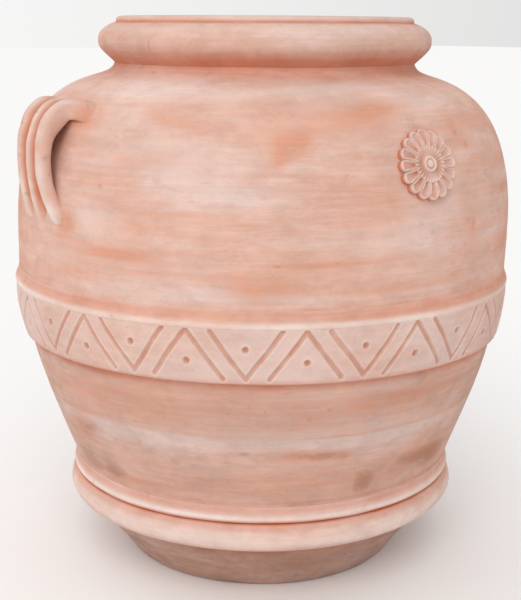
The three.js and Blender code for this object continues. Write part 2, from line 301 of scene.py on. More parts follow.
STAIN_SMUDGES = (
    (12, 0.492, 0.8, 0.009, 0, 0.5), (14.5, 0.478, 1.5, 0.005, 0, 0.5), (13, 0.448, 1.0, 0.018, 0, 0.3),
    (13.5, 0.405, 1.3, 0.014, 0, 0.45), (10.5, 0.382, 1.6, 0.007, 0, 0.4), (6.5, 0.367, 1.8, 0.006, 0, 0.35),
    (-22, 0.177, 9.5, 0.0062, -0.3, 0.62), (7, 0.152, 6, 0.009, -0.5, 0.7), (16, 0.148, 6, 0.013, -0.4, 0.7),
    (-8, 0.138, 3.0, 0.011, 0, 0.5), (-92, 0.135, 9, 0.018, 0, 0.7), (-78, 0.135, 5, 0.008, 0.4, 0.45),
    (-40, 0.182, 1.6, 0.0025, 0, 0.7), (-50, 0.433, 1.0, 0.0012, 0.6, 0.8), (-41, 0.385, 1.2, 0.0012, 0, 0.7),
    (-84, 0.182, 5, 0.010, 0.8, 0.5), (-20, 0.03, 10, 0.008, 0, 0.5), (-60, 0.03, 14, 0.008, 0, 0.5),
    (-33, 0.376, 1.0, 0.001, 0, 0.7), (20, 0.14, 8, 0.020, 0, 0.45), (-34.2, 0.218, 0.4, 0.010, 0, 0.7),
    (-80, 0.150, 4, 0.030, 0.6, 0.42), (-8, 0.142, 3.4, 0.020, -1, 0.45),
    (-74, 0.571, 0.35, 0.009, 0, 0.9), (-3, 0.580, 0.3, 0.008, 0, 0.7),
)


def far_side(rng, count, width, height, strength):
    """Smudges for the half of the jar that the listed ones leave bare."""
    return tuple(
        (
            rng.uniform(35, 260),
            rng.uniform(0.12, 0.53),
            width * rng.uniform(0.5, 1.5),
            height * rng.uniform(0.5, 1.6),
            rng.uniform(-0.3, 0.3),
            strength * rng.uniform(0.5, 1.2),
        )
        for _ in range(count)
    )


SCATTER = np.random.default_rng(7)
WARM_SMUDGES += far_side(SCATTER, 46, 9, 0.009, 0.9)
PALE_SMUDGES += far_side(SCATTER, 30, 14, 0.011, 0.9)
STAIN_SMUDGES += far_side(SCATTER, 34, 3, 0.006, 0.7)


def smudged(co, marks):
    """How strongly a list of smudges covers each point."""
    turn, z = np.degrees(turn_of(co)), co[:, 2]
    total = np.zeros(len(co))
    for at, level, wide, tall, tilt, strength in marks:
        away = (turn - at + 180) % 360 - 180
        rise = (z - level - tilt * MM * away) / tall
        total += strength * np.exp(-((np.abs(away) / wide) ** 2.4) - np.abs(rise) ** 2.4)
    return total


# Tight hollows, which show deep orange clay and get painted shade: an edge's level, mm above it, half height
# in mm, strength.
CREASES = (
    (ROLL_BOTTOM, -1, 6.5, 0.55), (ROLL_TOP, 0.4, 2.6, 1.0), (ROLL_TOP, -4, 4, 0.35),
    (FILLET_TOP, -4, 5, 0.42), (FILLET_TOP, 4, 2.2, 0.30), (BELT_LOW, -2.5, 5.5, 0.62),
    (RIDGE_TOP, -5, 6.2, 0.42), (ROLL_LOW, -5, 6, 0.34), (ROLL_LOW, 4, 9.5, 0.66), (RIM_TOP, 0.3, 1.6, 0.65),
)
# Edges that stand out, which take the chalky bloom and a painted highlight, in the same order.
RIDGES = (
    (ROLL_TOP, 6.2, 2.8, 1.2), (ROLL_TOP, -19, 11, 0.60), (BELT_HIGH, 2.6, 3.4, 1.1),
    (RIM_TOP, -6, 5, 0.35), (JAR_TOP, -2, 3, 0.3), (SHOULDER_TOP, -12, 10, 0.20),
)


def banded(z, bands):
    """How strongly a list of level bands covers each height."""
    total = np.zeros(len(z))
    for level, above, half, strength in bands:
        away = np.abs((z - (level + above * MM)) / (half * MM))
        total = np.maximum(total, strength * np.exp(-(away**2.2)))
    return total


def store(mesh, name, values):
    """Writes one number for each point under a name that the materials read."""
    attribute = mesh.attributes.get(name) or mesh.attributes.new(name, "FLOAT", "POINT")
    attribute.data.foreach_set("value", np.asarray(values, np.float32))


def paint(mesh, co):
    """Writes the wear and the painted light that the materials read: warm, pale and stain washes, creases for
    orange clay and painted shade, and ridges for bloom and painted highlights.
    """
    z = co[:, 2]
    # The lower wall is wiped tan under the belt, down to a crisp edge with a pale band below it.
    away = z - TIDE - 1.3 * MM * layered(co / (70 * MM), 61, 2)
    wiped = smooth(away / (1.6 * MM) + 0.5) * smooth((BELT_LOW + 2 * MM - z) / (4 * MM))
    broken = np.clip(0.35 + 2 * layered(co / (48 * MM), 62, 2), 0, 1)
    edge = np.exp(-(((away - 0.8 * MM) / (1.4 * MM)) ** 2)) * broken
    below = (away < 0.8 * MM) * np.exp(-((away / (20 * MM)) ** 2))
    tan = wiped * (0.42 - 0.25 * np.clip((z - TIDE) / (45 * MM), 0, 1)) + 0.55 * edge * (z < BELT_LOW)
    store(mesh, "warm", smudged(co, WARM_SMUDGES) + tan)
    store(mesh, "pale_wash", smudged(co, PALE_SMUDGES) + 0.45 * below)
    store(mesh, "stain", smudged(co, STAIN_SMUDGES))
    wave = 1 + 0.35 * layered(co / (35 * MM), 21, 2)
    # Hollows and edges are on the outer skin only.
    skin = np.interp(z, [0, ROLL_BOTTOM, ROLL_TOP], [BASE, FOOT_TOP, WAIST])
    skin = np.where(z > FILLET_TOP, np.where(z > SHOULDER_TOP, NECK, wall_radius(z)), skin)
    wave *= np.hypot(co[:, 0], co[:, 1]) > skin - 11 * MM
    store(mesh, "crease", banded(z, CREASES) * wave)
    store(mesh, "ridge", banded(z, RIDGES) * wave)


# ---- Outline of the wall ----
def bezier(a, b, c, d):
    """Curve from a to d, drawn towards b and c."""
    t = np.linspace(0, 1, 80)[:, None]
    a, b, c, d = (np.array(p, float) for p in (a, b, c, d))
    return (1 - t) ** 3 * a + 3 * t * (1 - t) ** 2 * b + 3 * t * t * (1 - t) * c + t**3 * d


WALL_LINE = np.vstack(
    [
        bezier(
            (WAIST, FILLET_TOP),
            (mix(WAIST, BELLY, 0.63), mix(FILLET_TOP, BELLY_LEVEL, 0.38)),
            (BELLY, mix(FILLET_TOP, BELLY_LEVEL, 0.55)),
            (BELLY, BELLY_LEVEL),
        ),
        bezier(
            (BELLY, BELLY_LEVEL),
            (BELLY, mix(BELLY_LEVEL, SHOULDER_TOP, 0.886)),
            (mix(NECK, BELLY, 0.348), mix(BELLY_LEVEL, SHOULDER_TOP, 0.945)),
            (SHOULDER_EDGE, SHOULDER_TOP),
        )[1:],
    ]
)
WALL_RUN = np.concatenate([[0], np.cumsum(np.hypot(*np.diff(WALL_LINE, axis=0).T))])


def wall_radius(z):
    return np.interp(z, WALL_LINE[:, 1], WALL_LINE[:, 0])


def on_wall(along):
    """Radius, height and outward normal of the wall at a distance along its outline."""

    def at(distance):
        return np.array([np.interp(distance, WALL_RUN, column) for column in WALL_LINE.T])

    step = 2 * MM
    r, z = at(along)
    dr, dz = at(along + step) - at(along - step)
    length = np.maximum(np.hypot(dr, dz), 1e-9)
    return r, z, dz / length, -dr / length


# ---- Mesh building ----
def new_mesh(name, co, faces):
    """A smooth mesh whose sharpest corners stay sharp."""
    mesh = bpy.data.meshes.new(name)
    mesh.from_pydata(np.asarray(co).tolist(), [], faces)
    mesh.polygons.foreach_set("use_smooth", np.ones(len(mesh.polygons), bool))
    mesh.update()
    mesh.set_sharp_from_angle(angle=math.radians(52))
    return mesh


def add_piece(name, mesh, nodes, material=None):
    """Links a finished piece, rides it on the jar and hides the plain solids that it stands for."""
    obj = bpy.data.objects.new(name, mesh)
    bpy.context.scene.collection.objects.link(obj)
    if material is not None:
        mesh.materials.clear()
        mesh.materials.append(material)
    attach(obj, "root")
    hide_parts(*nodes)
    return obj


def quads(rows, columns, closed_rows=False, closed_columns=False):
    """Faces of a grid of points listed row by row; either way may close on itself."""
    i = np.arange(rows if closed_rows else rows - 1)[:, None]
    j = np.arange(columns if closed_columns else columns - 1)[None, :]
    here, above, beside = i * columns, (i + 1) % rows * columns, (j + 1) % columns
    return np.stack([here + j, here + beside, above + beside, above + j], -1).reshape(-1, 4).tolist()


def turned_over(faces):
    """The same faces seen from the other side, each from the same corner."""
    return [[a, d, c, b] for a, b, c, d in faces]


def steps_from(radius, level, steps, rise=MM):
    """Outline points as steps from a corner: outward in mm, and up in shares of rise."""
    return [(radius + out * MM, level + up * rise) for out, up in steps]


def dense(points, step=HIDDEN_STEP):
    """The same line of (radius, height) points with more of them, no further apart than step."""
    points = np.array(points, float)
    out = [points[0]]
    for a, b in zip(points[:-1], points[1:]):
        count = max(1, math.ceil(np.hypot(*(b - a)) / step))
        out += [a + (b - a) * k / count for k in range(1, count + 1)]
    return np.array(out)


def rounded(points, step, passes=1):
    """Dense line whose inner corners are softened."""
    line = dense(points, step)
    for _ in range(passes):
        line[1:-1] = (line[:-2] + 2 * line[1:-1] + line[2:]) / 4
    return line


def fans(rows, columns):
    """Faces that close the first and last row of a round grid, each on a point added after the grid."""
    start, top, faces = rows * columns, (rows - 1) * columns, []
    for j in range(columns):
        k = (j + 1) % columns
        faces += [[start, k, j], [start + 1, top + j, top + k]]
    return faces


def spun(name, outline, columns, lift=None):
    """A closed ring, or a disc where the outline starts and ends on the axis, spun round the Z axis."""
    outline = np.array(outline, float)
    on_axis = outline[0, 0] < 1e-6 and outline[-1, 0] < 1e-6
    body = outline[1:-1] if on_axis else outline
    turn = np.linspace(0, 2 * math.pi, columns, endpoint=False)
    r, z = body[:, 0][:, None], body[:, 1][:, None]
    co = np.stack([r * np.sin(turn), -r * np.cos(turn), z + 0 * turn], -1).reshape(-1, 3)
    faces = quads(len(body), columns, not on_axis, True)
    if on_axis:
        faces += fans(len(body), columns)
        co = np.vstack([co, [[0, 0, outline[0, 1]], [0, 0, outline[-1, 1]]]])
    co = worked(co, lift(co) if lift else 0.0)
    mesh = new_mesh(name, co, faces)
    paint(mesh, co)
    return mesh


# ---- Shader building ----
def link(tree, a, b):
    tree.links.new(a, b)


def node(tree, kind, inputs=None, **props):
    """Adds a node, sets its properties, and sets or links its inputs by name or number."""
    made = tree.nodes.new(kind)
    for key, value in props.items():
        setattr(made, key, value)
    for key, value in (inputs or {}).items():
        if isinstance(value, bpy.types.NodeSocket):
            link(tree, value, made.inputs[key])
        else:
            made.inputs[key].default_value = value
    return made


def maths(tree, operation, a, b=None, c=None, clamp=False):
    """One sum on numbers or sockets."""
    inputs = {k: v for k, v in enumerate((a, b, c)) if v is not None}
    return node(tree, "ShaderNodeMath", inputs, operation=operation, use_clamp=clamp).outputs[0]


def blended(tree, share, a, b, how="MIX"):
    """Colour a with colour b over it."""
    made = tree.nodes.new("ShaderNodeMix")
    made.data_type = "RGBA"
    made.blend_type = how
    made.clamp_factor = True
    for socket, value in ((made.inputs[0], share), (made.inputs[6], a), (made.inputs[7], b)):
        if isinstance(value, bpy.types.NodeSocket):
            link(tree, value, socket)
        else:
            socket.default_value = value
    return made.outputs[2]


def group_tree(name, inputs, outputs):
    """A new shader group with numbers going in and masks coming out."""
    tree = bpy.data.node_groups.new(name, "ShaderNodeTree")
    for label, value in inputs:
        socket = tree.interface.new_socket(name=label, in_out="INPUT", socket_type="NodeSocketFloat")
        socket.default_value = value
    for label in outputs:
        tree.interface.new_socket(name=label, in_out="OUTPUT", socket_type="NodeSocketFloat")
    return tree, tree.nodes.new("NodeGroupInput"), tree.nodes.new("NodeGroupOutput")


def wash_group():
    """Soft patches or streaks, drawn out round the jar by Stretch."""
    tree, into, out = group_tree(
        "Clay wash",
        [
            ("Scale", 10.0),
            ("Stretch", 1.0),
            ("Shift", 0.0),
            ("Low", 0.4),
            ("High", 0.6),
            ("Detail", 4.0),
            ("Rough", 0.55),
        ],
        ["Mask"],
    )
    place = node(tree, "ShaderNodeTexCoord").outputs["Object"]
    squeeze = node(tree, "ShaderNodeCombineXYZ", {0: 1.0, 1: 1.0, 2: into.outputs["Stretch"]})
    moved = node(tree, "ShaderNodeVectorMath", {0: place, 1: squeeze.outputs[0]}, operation="MULTIPLY")
    shift = node(tree, "ShaderNodeCombineXYZ", {0: into.outputs["Shift"], 1: into.outputs["Shift"], 2: 0.0})
    moved = node(tree, "ShaderNodeVectorMath", {0: moved.outputs[0], 1: shift.outputs[0]}, operation="ADD")
    noise = node(
        tree,
        "ShaderNodeTexNoise",
        {
            "Vector": moved.outputs[0],
            "Scale": into.outputs["Scale"],
            "Detail": into.outputs["Detail"],
            "Roughness": into.outputs["Rough"],
            "Distortion": 0.35,
        },
    )
    spread = node(
        tree,
        "ShaderNodeMapRange",
        {0: noise.outputs[0], 1: into.outputs["Low"], 2: into.outputs["High"], 3: 0.0, 4: 1.0},
        interpolation_type="SMOOTHSTEP",
    )
    link(tree, spread.outputs[0], out.inputs["Mask"])
    return tree


def grit_group():
    """Fine grain, open pits and dark specks of the clay body."""
    tree, into, out = group_tree(
        "Clay grit",
        [("Grain", 900.0), ("Speck size", 170.0), ("Specks", 0.1)],
        ["Grain", "Specks", "Height"],
    )
    place = node(tree, "ShaderNodeTexCoord").outputs["Object"]
    inputs = {"Vector": place, "Scale": into.outputs["Grain"], "Detail": 3.0, "Roughness": 0.6}
    grain = node(tree, "ShaderNodeTexNoise", inputs)
    inputs = {"Vector": place, "Scale": into.outputs["Speck size"], "Randomness": 1.0}
    cells = node(tree, "ShaderNodeTexVoronoi", inputs)
    pick = node(tree, "ShaderNodeSeparateColor", {0: cells.outputs["Color"]})
    chosen = maths(tree, "LESS_THAN", pick.outputs[0], into.outputs["Specks"])
    ragged = maths(tree, "MULTIPLY_ADD", grain.outputs[0], 0.25, cells.outputs["Distance"])
    edge = node(tree, "ShaderNodeMapRange", {0: ragged, 1: 0.34, 2: 0.22, 3: 0.0, 4: 1.0})
    specks = maths(tree, "MULTIPLY", chosen, edge.outputs[0])
    height = maths(tree, "MULTIPLY_ADD", specks, -1.4, grain.outputs[0])
    link(tree, grain.outputs[0], out.inputs["Grain"])
    link(tree, specks, out.inputs["Specks"])
    link(tree, height, out.inputs["Height"])
    return tree


GROUPS = {}


def shared(name, tree, **values):
    """Places one of the shared groups in a material, with values of its own."""
    if name not in GROUPS:
        GROUPS[name] = {"wash": wash_group, "grit": grit_group}[name]()
    made = tree.nodes.new("ShaderNodeGroup")
    made.node_tree = GROUPS[name]
    for key, value in values.items():
        made.inputs[key.replace("_", " ")].default_value = value
    return made


def attribute(tree, name):
    return node(tree, "ShaderNodeAttribute", attribute_name=name, attribute_type="GEOMETRY").outputs["Fac"]


def rgba(colour, gain=1.0):
    return (*[min(1.0, c * gain) for c in colour], 1.0)


def wash(tree, scale, stretch, shift, low, high, detail, rough=0.55):
    """A wash group placed in a material, with values of its own."""
    values = {"Scale": scale, "Stretch": stretch, "Shift": shift, "Low": low, "High": high}
    return shared("wash", tree, **values, Detail=detail, Rough=rough).outputs[0]


def clay(
    name,
    base=0.1,
    pale=0.5,
    warm=0.5,
    deep=1.0,
    stain=0.5,
    bloom_and_highlight=1.0,
    gain=1.0,
    shift=0.0,
    streaks=1.0,
    mottling=1.0,
):
    """Fired clay: a pink wash over orange, chalky edges with painted highlights, orange hollows with painted
    shade, brown specks and grain.
    """
    c = colours()
    material = bpy.data.materials.new(name)
    material.use_nodes = True
    tree = material.node_tree
    tree.nodes.clear()
    do = partial(maths, tree)
    patches = wash(tree, 7.0, 1.6, shift, 0.40, 0.66, 5.0)
    drawn = wash(tree, 5.0, 11.0, shift + 3.1, 0.42, 0.68, 7.0, 0.62)
    fine = wash(tree, 7.0, 42.0, shift + 7.7, 0.35, 0.70, 5.0, 0.6)
    tatter = wash(tree, 40.0, 1.7, shift + 1.3, 0.30, 0.64, 6.0, 0.68)
    blush = wash(tree, 4.2, 2.2, shift + 9.4, 0.42, 0.70, 4.0)
    strokes = wash(tree, 20.0, 8.0, shift + 2.3, 0.46, 0.60, 5.0, 0.6)
    mottle = wash(tree, 15.0, 1.3, shift + 5.9, 0.25, 0.75, 6.0, 0.66)
    grit = shared("grit", tree, Grain=620.0, Speck_size=150.0, Specks=0.035).outputs
    coarse = shared("grit", tree, Grain=300.0, Speck_size=55.0, Specks=0.03).outputs
    torn = do("MULTIPLY_ADD", tatter, 0.85, 0.25)
    tatter_swing = do("SUBTRACT", tatter, 0.5)
    # The pale wash goes on first, in patches and in strokes round the jar.
    lift = do("MULTIPLY_ADD", drawn, 0.45 * streaks, do("MULTIPLY", patches, 0.6))
    lift = do("MULTIPLY_ADD", lift, pale, base)
    lift = do("MULTIPLY_ADD", do("SUBTRACT", strokes, 0.4), 0.28 * streaks, lift)
    lift = do("MULTIPLY_ADD", tatter_swing, 0.26, lift)
    lift = do("ADD", lift, do("MULTIPLY", attribute(tree, "pale_wash"), 0.75), clamp=True)
    colour = blended(tree, lift, rgba(c.mid, gain), rgba(c.pale, gain))
    # Bare orange clay shows through wipes.
    bare = do("MULTIPLY", attribute(tree, "warm"), torn)
    bare = do("MULTIPLY_ADD", do("MULTIPLY", blush, fine), 0.55 * warm, bare)
    bare = do("MULTIPLY_ADD", blush, 0.22 * warm, bare, clamp=True)
    colour = blended(tree, do("MULTIPLY", bare, 0.80), colour, rgba(c.warm, gain))
    # Chalk bloom and painted highlights on the edges.
    pale_edges = do("MULTIPLY", attribute(tree, "ridge"), do("MULTIPLY_ADD", patches, 0.5, 0.6))
    colour = blended(tree, do("MULTIPLY", pale_edges, bloom_and_highlight, clamp=True), colour, rgba(c.bloom_and_highlight, gain))
    # Deep orange clay and painted shade in the hollows.
    hollow = do("MULTIPLY", attribute(tree, "crease"), deep, clamp=True)
    colour = blended(tree, hollow, colour, rgba(c.deep, gain))
    # Brown marks with torn edges, and specks.
    smear = attribute(tree, "stain")
    edges = {0: do("MULTIPLY", smear, torn), 1: 0.14, 2: 0.46}
    edges = node(tree, "ShaderNodeMapRange", edges, interpolation_type="SMOOTHSTEP").outputs[0]
    marks = do("MULTIPLY", edges, do("MULTIPLY_ADD", smear, 0.75, 0.12))
    marks = do("MULTIPLY_ADD", grit["Specks"], 0.40 * stain, marks)
    marks = do("MULTIPLY_ADD", coarse["Specks"], 0.45 * stain, marks, clamp=True)
    colour = blended(tree, do("MULTIPLY", marks, 0.72), colour, rgba(c.stain, gain))
    # Light and dark threads, grain and mottling.
    thread = do("MULTIPLY", fine, do("MULTIPLY_ADD", tatter, 0.7, 0.3))
    grey = do("MULTIPLY_ADD", thread, 0.10 * streaks, 0.91)
    grey = do("ADD", grey, do("MULTIPLY_ADD", grit["Grain"], 0.09, -0.045))
    grey = do("MULTIPLY_ADD", mottle, 0.11 * mottling, grey)
    grey = do("MULTIPLY_ADD", tatter_swing, 0.055 * mottling, grey)
    shade = node(tree, "ShaderNodeCombineColor", {0: grey, 1: grey, 2: grey}).outputs[0]
    colour = blended(tree, 1.0, colour, shade, "MULTIPLY")
    rough = do("MULTIPLY_ADD", patches, -0.07, 0.92)
    height = do("MULTIPLY_ADD", fine, 0.35 * streaks, grit["Height"])
    height = do("MULTIPLY_ADD", coarse["Specks"], -0.9, height)
    relief = node(tree, "ShaderNodeBump", {"Strength": 0.55, "Distance": 0.22 * MM, "Height": height})
    skin = node(
        tree,
        "ShaderNodeBsdfPrincipled",
        {"Base Color": colour, "Roughness": rough, "Specular IOR Level": 0.22, "Normal": relief.outputs[0]},
    )
    out = node(tree, "ShaderNodeOutputMaterial")
    link(tree, skin.outputs[0], out.inputs[0])
    return material


# ---- Operators: the jar's pieces ----
class JAR_OT_foot(bpy.types.Operator):
    """Build the foot, the round moulding above it and the small ridge with its cove"""

    bl_idname = "jar.foot"
    bl_label = "Foot and mouldings"

    def execute(self, context):
        inner_floor = high("floor_disc")
        curve = steps_from(BASE, 0.0, [(-3, 0), (-0.5, 0.7), (1.8, 2.6)]) + [(FOOT_TOP, ROLL_BOTTOM + MM)]
        under = dense([(0, 0), (BASE - 3 * MM, 0)])[:-1]
        bend = (BASE + 18 * MM - WALL, inner_floor + 2 * MM)
        inside = dense([(FOOT_TOP - WALL, ROLL_BOTTOM + MM), bend, (0, inner_floor)])
        mesh = spun("foot", np.vstack([under, rounded(curve, 3 * MM), inside]), PLAIN_RING)
        # Gain darkens the foot: partly its darker clay, partly painted shade under the moulding.
        material = clay(
            "foot clay", pale=0.32, warm=0.9, deep=0.6, stain=1.3, gain=0.575, shift=2.0, mottling=3.0
        )
        add_piece("foot", mesh, ["floor_disc", "foot_wall"], material)

        # Distance in from the widest point in mm, and share of the moulding's height.
        stations = [
            (24.5, 0.03), (20, 0.07), (15, 0.11), (9.5, 0.175), (5.2, 0.25), (2.2, 0.335), (0.5, 0.43),
            (0, 0.51), (0.6, 0.62), (1.9, 0.75), (3.9, 0.87), (6.3, 0.97), (8.4, 1.0), (14, 1.01),
        ]
        steps = [(-away, share) for away, share in stations]
        curve = steps_from(MOULDING, ROLL_BOTTOM, steps, ROLL_TOP - ROLL_BOTTOM)
        inside = dense([(WAIST - WALL - 2 * MM, ROLL_TOP), (FOOT_TOP - WALL, ROLL_BOTTOM)])
        mesh = spun("foot_roll", np.vstack([rounded(curve, 1.6 * MM, 2), inside]), FINE_RING)
        material = clay(
            "moulding clay", base=0.55, pale=0.7, warm=0.35, stain=0.6, bloom_and_highlight=0.85, gain=0.98, shift=4.0
        )
        add_piece("foot_roll", mesh, ["foot_roll"], material)

        steps = [(-2.6, 0.9), (-1, 2.2), (0, 4.6), (-0.4, 6.6), (-1.5, 8.8), (-2.6, 11.6)]
        curve = [(WAIST - 6 * MM, ROLL_TOP - 0.5 * MM)]
        curve += steps_from(WAIST + 3.5 * MM, ROLL_TOP, steps) + [(WAIST + 0.3 * MM, ROLL_TOP + 14.8 * MM)]
        curve += steps_from(WAIST, FILLET_TOP, [(0.1, 0.2), (-4, 0.2)])
        inside = dense([(WAIST - WALL, FILLET_TOP), (WAIST - WALL - 2 * MM, ROLL_TOP)])
        mesh = spun("foot_step", np.vstack([rounded(curve, 1.2 * MM), inside]), FINE_RING)
        add_piece("foot_step", mesh, ["foot_fillet"], material)
        return {"FINISHED"}


class JAR_OT_wall(bpy.types.Operator):
    """Build the lower wall and the belly with its shoulder and neck"""

    bl_idname = "jar.wall"
    bl_label = "Walls"

    def execute(self, context):
        levels = np.arange(FILLET_TOP, BELT_LOW + 2 * MM, 1.6 * MM)
        outside = np.stack([wall_radius(levels), levels], 1)
        behind = np.linspace(BELT_LOW + 2.5 * MM, RIDGE_TOP, 6)
        seat = np.stack([wall_radius(behind) - 4.6 * MM, behind], 1)
        inner = np.linspace(RIDGE_TOP, FILLET_TOP, 26)
        inside = np.stack([wall_radius(inner) - WALL, inner], 1)
        mesh = spun("lower_wall", np.vstack([outside, seat, inside]), FINE_RING)
        # Gain darkens the lower wall as painted shade on its downward-facing slope.
        material = clay(
            "lower wall clay", base=0.22, pale=0.6, warm=0.4, stain=1.0, gain=0.855, shift=1.0, mottling=1.6
        )
        add_piece("lower_wall", mesh, ["lower_wall"], material)

        start = np.interp(RIDGE_TOP, WALL_LINE[:, 1], WALL_RUN)
        r, z, _, _ = on_wall(np.arange(start - 0.8 * MM, WALL_RUN[-1], 2.4 * MM))
        steps = [
            (12.7, 0), (8.4, 0.16), (5.2, 0.33), (2.6, 0.54), (0.9, 0.76), (0, 1.0), (-0.6, 1.2),
        ]
        neck = rounded(steps_from(NECK, SHOULDER_TOP, steps, ROLL_LOW - SHOULDER_TOP), 2 * MM)
        throat = dense([(NECK - WALL, ROLL_LOW), (NECK - WALL, SHOULDER_TOP + 9 * MM)], 4 * MM)
        back = np.linspace(SHOULDER_TOP, RIDGE_TOP, 34)
        inside = np.stack([wall_radius(back) - WALL, back], 1)
        outline = np.vstack([np.stack([r, z], 1), neck[1:], throat, inside])
        mesh = spun("shoulder", outline, SHOULDER_RING, handle_fillet)
        material = clay("shoulder clay", base=0.12, pale=0.7, warm=0.8, stain=0.7)
        add_piece("shoulder", mesh, ["shoulder_wall", "neck_ring"], material)
        return {"FINISHED"}


class JAR_OT_rim(bpy.types.Operator):
    """Build the rolled rim and the low lip above it"""

    bl_idname = "jar.rim"
    bl_label = "Rim"

    def execute(self, context):
        # Share of the roll's reach and of its height: a long slope up from the neck, then a round edge.
        stations = [
            (-0.18, 0.0), (0.02, 0.015), (0.09, 0.05), (0.22, 0.10), (0.39, 0.16), (0.60, 0.24), (0.79, 0.32),
            (0.93, 0.40), (0.99, 0.48), (1.0, 0.56), (0.98, 0.64), (0.92, 0.72), (0.78, 0.80), (0.59, 0.87),
            (0.36, 0.93), (0.12, 0.975), (-0.12, 1.0),
        ]
        curve = [(NECK + (RIM_REACH + 0.5 * MM) * out, mix(ROLL_LOW, RIM_TOP, up)) for out, up in stations]
        inside = dense([(NECK - WALL, RIM_TOP), (NECK - WALL, ROLL_LOW)], 5 * MM)
        mesh = spun("rim_roll", np.vstack([rounded(curve, 1.6 * MM, 2), inside]), FINE_RING)
        roll_clay = clay("rim clay", base=0.15, warm=0.9, stain=0.8, gain=0.98, shift=6.0, streaks=0.8)
        add_piece("rim_roll", mesh, ["rim_roll"], roll_clay)

        curve = steps_from(LIP_RADIUS, RIM_TOP, [(-4, -0.6), (0.3, -0.3), (-0.5, 1.2)])
        curve += steps_from(LIP_RADIUS, JAR_TOP, [(-0.7, -2.8), (-1.9, -1.1), (-4.2, -0.2), (-7, 0)])
        curve += steps_from(NECK - WALL, JAR_TOP, [(5, 0), (1.2, -1), (0, -3)]) + [(NECK - WALL, RIM_TOP)]
        mesh = spun("rim_lip", rounded(curve, 1.3 * MM), PLAIN_RING)
        lip_clay = clay("lip clay", base=0.20, pale=0.6, warm=0.9, stain=0.8, gain=0.96, shift=7.0)
        add_piece("rim_lip", mesh, ["rim_lip"], lip_clay)
        return {"FINISHED"}


# ---- Geometry node building ----
def geo_tree(name, sockets):
    """A new geometry tree that takes and gives a mesh."""
    tree = bpy.data.node_groups.new(name, "GeometryNodeTree")
    tree.interface.new_socket(name="Geometry", in_out="INPUT", socket_type="NodeSocketGeometry")
    for label, kind in sockets:
        tree.interface.new_socket(name=label, in_out="INPUT", socket_type=kind)
    tree.interface.new_socket(name="Geometry", in_out="OUTPUT", socket_type="NodeSocketGeometry")
    return tree, tree.nodes.new("NodeGroupInput"), tree.nodes.new("NodeGroupOutput")


def vectors(tree, operation, a, b=None, scale=None):
    """One sum on vectors."""
    inputs = {k: v for k, v in enumerate((a, b)) if v is not None}
    if scale is not None:
        inputs["Scale"] = scale
    made = node(tree, "ShaderNodeVectorMath", inputs, operation=operation)
    return made.outputs["Value" if operation in ("LENGTH", "DOT_PRODUCT") else "Vector"]


def combined(tree, x, y, z=0.0):
    return node(tree, "ShaderNodeCombineXYZ", {0: x, 1: y, 2: z}).outputs[0]


def eased(tree, value, start, end, a, b):
    """Eases from a to b as the value goes from start to end."""
    inputs = {0: value, 1: start, 2: end, 3: a, 4: b}
    return node(tree, "ShaderNodeMapRange", inputs, interpolation_type="SMOOTHSTEP").outputs[0]


def to_segment(tree, point, a, b):
    """Distance from a point to the straight line between a and b."""
    on = partial(vectors, tree)
    across, along = on("SUBTRACT", point, a), on("SUBTRACT", b, a)
    reached, whole = on("DOT_PRODUCT", across, along), on("DOT_PRODUCT", along, along)
    share = maths(tree, "DIVIDE", reached, whole, clamp=True)
    return on("LENGTH", on("SUBTRACT", across, on("SCALE", along, scale=share)))


def stored(tree, geometry, name, value):
    inputs = {"Geometry": geometry, "Name": name, "Value": value}
    kind = "GeometryNodeStoreNamedAttribute"
    return node(tree, kind, inputs, data_type="FLOAT", domain="POINT").outputs[0]


def finished(tree, geometry, material, out, weld=None):
    """Ends a tree: real faces, welded where asked, with their material."""
    solid = node(tree, "GeometryNodeRealizeInstances", {"Geometry": geometry}).outputs[0]
    if weld is not None:
        solid = node(tree, "GeometryNodeMergeByDistance", {"Geometry": solid, "Distance": weld}).outputs[0]
    solid = node(tree, "GeometryNodeSetMaterial", {"Geometry": solid, "Material": material}).outputs[0]
    link(tree, solid, out.inputs[0])


BELT_SOCKETS = (
    "Repeats", "Start angle", "Band radius", "Low", "High", "Leg", "Stroke width", "Stroke depth", "Burr",
    "Dot radius", "Dot depth", "Dot low", "Dot high", "Waver",
)


